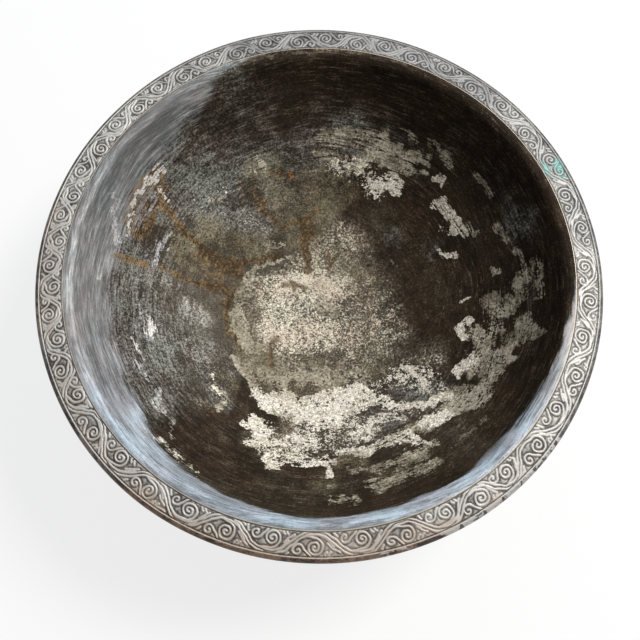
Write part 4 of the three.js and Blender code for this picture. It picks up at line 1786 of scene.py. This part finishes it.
class BOWL_OT_rim_wire(bpy.types.Operator):
    """Lay the iron wire in the rolled edge"""

    bl_idname = "bowl.rim_wire"
    bl_label = "Rim wire"
    bl_options = {"REGISTER", "UNDO"}

    def execute(self, context):
        low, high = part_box("rim_wire")
        radius = (high.z - low.z) / 2
        centre_r, centre_z = high.x - radius, (high.z + low.z) / 2
        turns = (FULL_TURN * i / WIRE_SIDES for i in range(WIRE_SIDES))
        outline = [(centre_r + radius * math.cos(a), centre_z + radius * math.sin(a)) for a in turns]
        mesh = turned(outline, ROLL_COLUMNS)
        finish = Finishes(context.scene.bowl_colours).wire()
        piece = add_piece(
            "iron_rim_wire", mesh, replaces=["rim_wire"], materials=[finish]
        )
        points = get_points(piece.data)
        make_uneven(points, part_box("bowl_body")[1].x)
        set_points(piece.data, points)
        return {"FINISHED"}


class BOWL_OT_foot(bpy.types.Operator):
    """Make the hollow flared foot"""

    bl_idname = "bowl.foot"
    bl_label = "Foot"
    bl_options = {"REGISTER", "UNDO"}

    def execute(self, context):
        foot = context.scene.bowl_foot
        sizes = context.scene.bowl_sizes
        section = foot_section(foot, Belly(sizes, bowl_section(sizes)))
        mesh = turned([*section.face(), *reversed(section.face(foot.sheet))], FOOT_COLUMNS)
        finish = Finishes(context.scene.bowl_colours).bare_copper()
        add_piece("flared_foot", mesh, replaces=["foot_ring"], materials=[finish])
        return {"FINISHED"}


class BOWL_OT_solder(bpy.types.Operator):
    """Run the solder round the foot's collar, outside and inside"""

    bl_idname = "bowl.solder"
    bl_label = "Solder"
    bl_options = {"REGISTER", "UNDO"}

    def execute(self, context):
        foot = context.scene.bowl_foot
        sizes = context.scene.bowl_sizes
        belly = Belly(sizes, bowl_section(sizes))
        finish = Finishes(context.scene.bowl_colours).solder()
        fillets = {
            "solder_outer": ("foot_solder_outer", self.outer_fillet(foot, belly)),
            "solder_inner": ("foot_solder_inner", self.inner_fillet(foot, belly)),
        }
        for name, (node, outline) in fillets.items():
            mesh = turned(outline, FOOT_COLUMNS)
            self.lump(mesh)
            add_piece(name, mesh, replaces=[node], materials=[finish])
        return {"FINISHED"}

    def outer_fillet(self, foot, belly):
        """From over the collar's edge down to the belly"""
        collar = belly.turn_at(foot.collar_radius)
        thick = foot.seat + foot.sheet
        reach = foot.outer_fillet / belly.curve
        start = collar - SOLDER_OVER_COLLAR * reach
        outline = [belly.point(start, -SOLDER_SUNK), belly.point(start, SOLDER_START * thick)]
        for i in range(FILLET_STEPS + 1):
            share = i / FILLET_STEPS
            outline.append(belly.point(collar + reach * share, thick * (1 - share) ** OUTER_HOLLOW))
        outline.append(belly.point(collar + reach, -SOLDER_SUNK))
        return outline

    def inner_fillet(self, foot, belly):
        """From the belly inside the foot over to its neck, and back along the neck's bend"""
        section = foot_section(foot, belly)
        bend = section.face(0.0, section.collar_end, section.neck_end)
        low_r, low_z = bend[-1]
        near = belly.turn_at(low_r)
        far = near - foot.inner_fillet / belly.curve
        outline = [belly.point(far, -SOLDER_SUNK)]
        for i in range(1, FILLET_STEPS + 1):
            share = i / FILLET_STEPS
            r, z = belly.point(far + (near - far) * share)
            outline.append((r, z - (z - low_z) * share**INNER_HOLLOW))
        outline += [(r + SOLDER_SUNK, z) for r, z in reversed(bend)]
        return outline

    def lump(self, mesh):
        """Solder runs in slow lumps"""
        for vertex in mesh.verts:
            turn = math.atan2(vertex.co.y, vertex.co.x)
            vertex.co.z -= SOLDER_LUMP * (1 + math.cos(23 * turn + 2 * math.cos(5 * turn)))


# Where each lamp stands: its bearing from +X towards +Y and its height above the rim in degrees, its distance
# from the middle of the rim, its width and height, and its tint
KEY_LAMP = (26, 52, 2.2, (0.75, 0.75), (1.0, 0.985, 0.96))
FILL_LAMP = (80, 34, 2.0, (2.4, 1.4), (0.80, 0.90, 1.0))
SKY_TINT = (0.94, 0.97, 1.0, 1.0)
# How much of its plain white the camera and reflections see on the floor
FLOOR_WHITE = 0.8
FLOOR_ROUGHNESS = 0.9
# The camera's lens and sensor in millimetres, and its aim right and back of the middle of the rim and its
# distance from there in radii of the flange's border
LENS = 45.0
SENSOR = 36.0
CAMERA_AIM = (0.0042, -0.1957)
CAMERA_DISTANCE = 2.793


class BOWL_OT_stage(bpy.types.Operator):
    """Set the floor, the lamps, the sky and the camera"""

    bl_idname = "bowl.stage"
    bl_label = "Stage"
    bl_options = {"REGISTER", "UNDO"}

    def execute(self, context):
        scene = context.scene
        settings = scene.bowl_stage
        self.floor(settings)
        self.lamp("key_lamp", settings.key_power, *KEY_LAMP)
        self.lamp("sky_lamp", settings.fill_power, *FILL_LAMP)
        self.sky(scene, settings)
        self.camera(scene, settings)
        scene.view_settings.view_transform = "Standard"
        return {"FINISHED"}

    def floor(self, settings):
        mesh = bmesh.new()
        bmesh.ops.create_grid(mesh, x_segments=1, y_segments=1, size=settings.floor_reach)
        data = bpy.data.meshes.new("floor")
        mesh.to_mesh(data)
        mesh.free()
        data.materials.append(self.floor_paint(settings))
        floor = bpy.data.objects.new("floor", data)
        bpy.context.scene.collection.objects.link(floor)

    def floor_paint(self, settings):
        """Pale paint, mostly plain white to the camera and to reflections, which keeps the bowl's shadow"""
        material = bpy.data.materials.new("pale_floor")
        material.use_nodes = True
        graph = Graph(material.node_tree)
        paint = material.node_tree.nodes["Principled BSDF"]
        output = material.node_tree.nodes["Material Output"]
        paint.inputs["Base Color"].default_value = settings.floor
        paint.inputs["Roughness"].default_value = FLOOR_ROUGHNESS
        rays = graph.node("ShaderNodeLightPath").outputs
        seen = graph.most(rays["Is Camera Ray"], rays["Is Glossy Ray"], rays["Is Transmission Ray"])
        white = graph.node("ShaderNodeEmission", {"Color": (1, 1, 1, 1), "Strength": 1.0})
        mixed = graph.node("ShaderNodeMixShader", {
            0: graph.times(seen, FLOOR_WHITE), 1: paint.outputs[0], 2: white.outputs[0],
        })
        graph.feed(output.inputs["Surface"], mixed.outputs[0])
        return material

    def lamp(self, name, watts, bearing, rise, distance, size, tint):
        """A soft lamp that looks at the middle of the rim"""
        light = bpy.data.lights.new(name, "AREA")
        light.shape = "RECTANGLE"
        light.size, light.size_y = size
        light.energy = watts
        light.color = tint
        lamp = bpy.data.objects.new(name, light)
        around, up = math.radians(bearing), math.radians(rise)
        away = Vector((math.cos(around) * math.cos(up), math.sin(around) * math.cos(up), math.sin(up)))
        lamp.location = Vector((0, 0, cad_high.z)) + away * distance
        lamp.rotation_mode = "QUATERNION"
        lamp.rotation_quaternion = (-away).to_track_quat("-Z", "Y")
        bpy.context.scene.collection.objects.link(lamp)

    def sky(self, scene, settings):
        world = bpy.data.worlds.new("even_sky")
        world.use_nodes = True
        background = world.node_tree.nodes["Background"]
        background.inputs["Color"].default_value = SKY_TINT
        background.inputs["Strength"].default_value = settings.sky
        scene.world = world

    def camera(self, scene, settings):
        """The camera of the photograph: above the front rim, looking down and a little backwards"""
        section = bowl_section(scene.bowl_sizes)
        border_r, border_z, _ = section.stations[section.border]
        look = Vector((0, math.sin(settings.tilt), -math.cos(settings.tilt)))
        across, back = CAMERA_AIM
        aim = Vector((across * border_r, back * border_r, border_z))
        data = bpy.data.cameras.new("camera")
        data.sensor_width = SENSOR
        data.lens = LENS
        camera = bpy.data.objects.new("camera", data)
        camera.location = aim - look * CAMERA_DISTANCE * border_r
        camera.rotation_mode = "QUATERNION"
        camera.rotation_quaternion = look.to_track_quat("-Z", "Y") @ Quaternion((0, 0, 1), settings.roll)
        scene.collection.objects.link(camera)
        scene.camera = camera


class BOWL_PT_panel(bpy.types.Panel):
    """The steps of making the bowl, and its sizes and colours"""

    bl_label = "Footed copper bowl"
    bl_idname = "BOWL_PT_panel"
    bl_space_type = "VIEW_3D"
    bl_region_type = "UI"
    bl_category = "Bowl"

    def draw(self, context):
        for operator in OPERATORS:
            self.layout.operator(operator.bl_idname)
        for name, group in GROUPS.items():
            box = self.layout.box()
            box.label(text=group.__doc__)
            for value in group.__annotations__:
                box.prop(getattr(context.scene, name), value)


GROUPS = {
    "bowl_sizes": BowlSizes,
    "bowl_foot": FootSizes,
    "bowl_scroll": ScrollSizes,
    "bowl_colours": FinishColours,
    "bowl_stage": StageSettings,
}
OPERATORS = (
    BOWL_OT_stage, BOWL_OT_basin, BOWL_OT_flange, BOWL_OT_rolled_edge, BOWL_OT_rim_wire, BOWL_OT_foot,
    BOWL_OT_solder,
)


def register():
    for name, group in GROUPS.items():
        bpy.utils.register_class(group)
        setattr(bpy.types.Scene, name, PointerProperty(type=group))
    for operator in OPERATORS:
        bpy.utils.register_class(operator)
    bpy.utils.register_class(BOWL_PT_panel)


def unregister():
    bpy.utils.unregister_class(BOWL_PT_panel)
    for operator in reversed(OPERATORS):
        bpy.utils.unregister_class(operator)
    for name, group in reversed(GROUPS.items()):
        delattr(bpy.types.Scene, name)
        bpy.utils.unregister_class(group)


def main():
    register()
    bpy.ops.bowl.stage()
    bpy.ops.bowl.basin()
    bpy.ops.bowl.flange()
    bpy.ops.bowl.rolled_edge()
    bpy.ops.bowl.rim_wire()
    bpy.ops.bowl.foot()
    bpy.ops.bowl.solder()


if __name__ == "__main__":
    main()
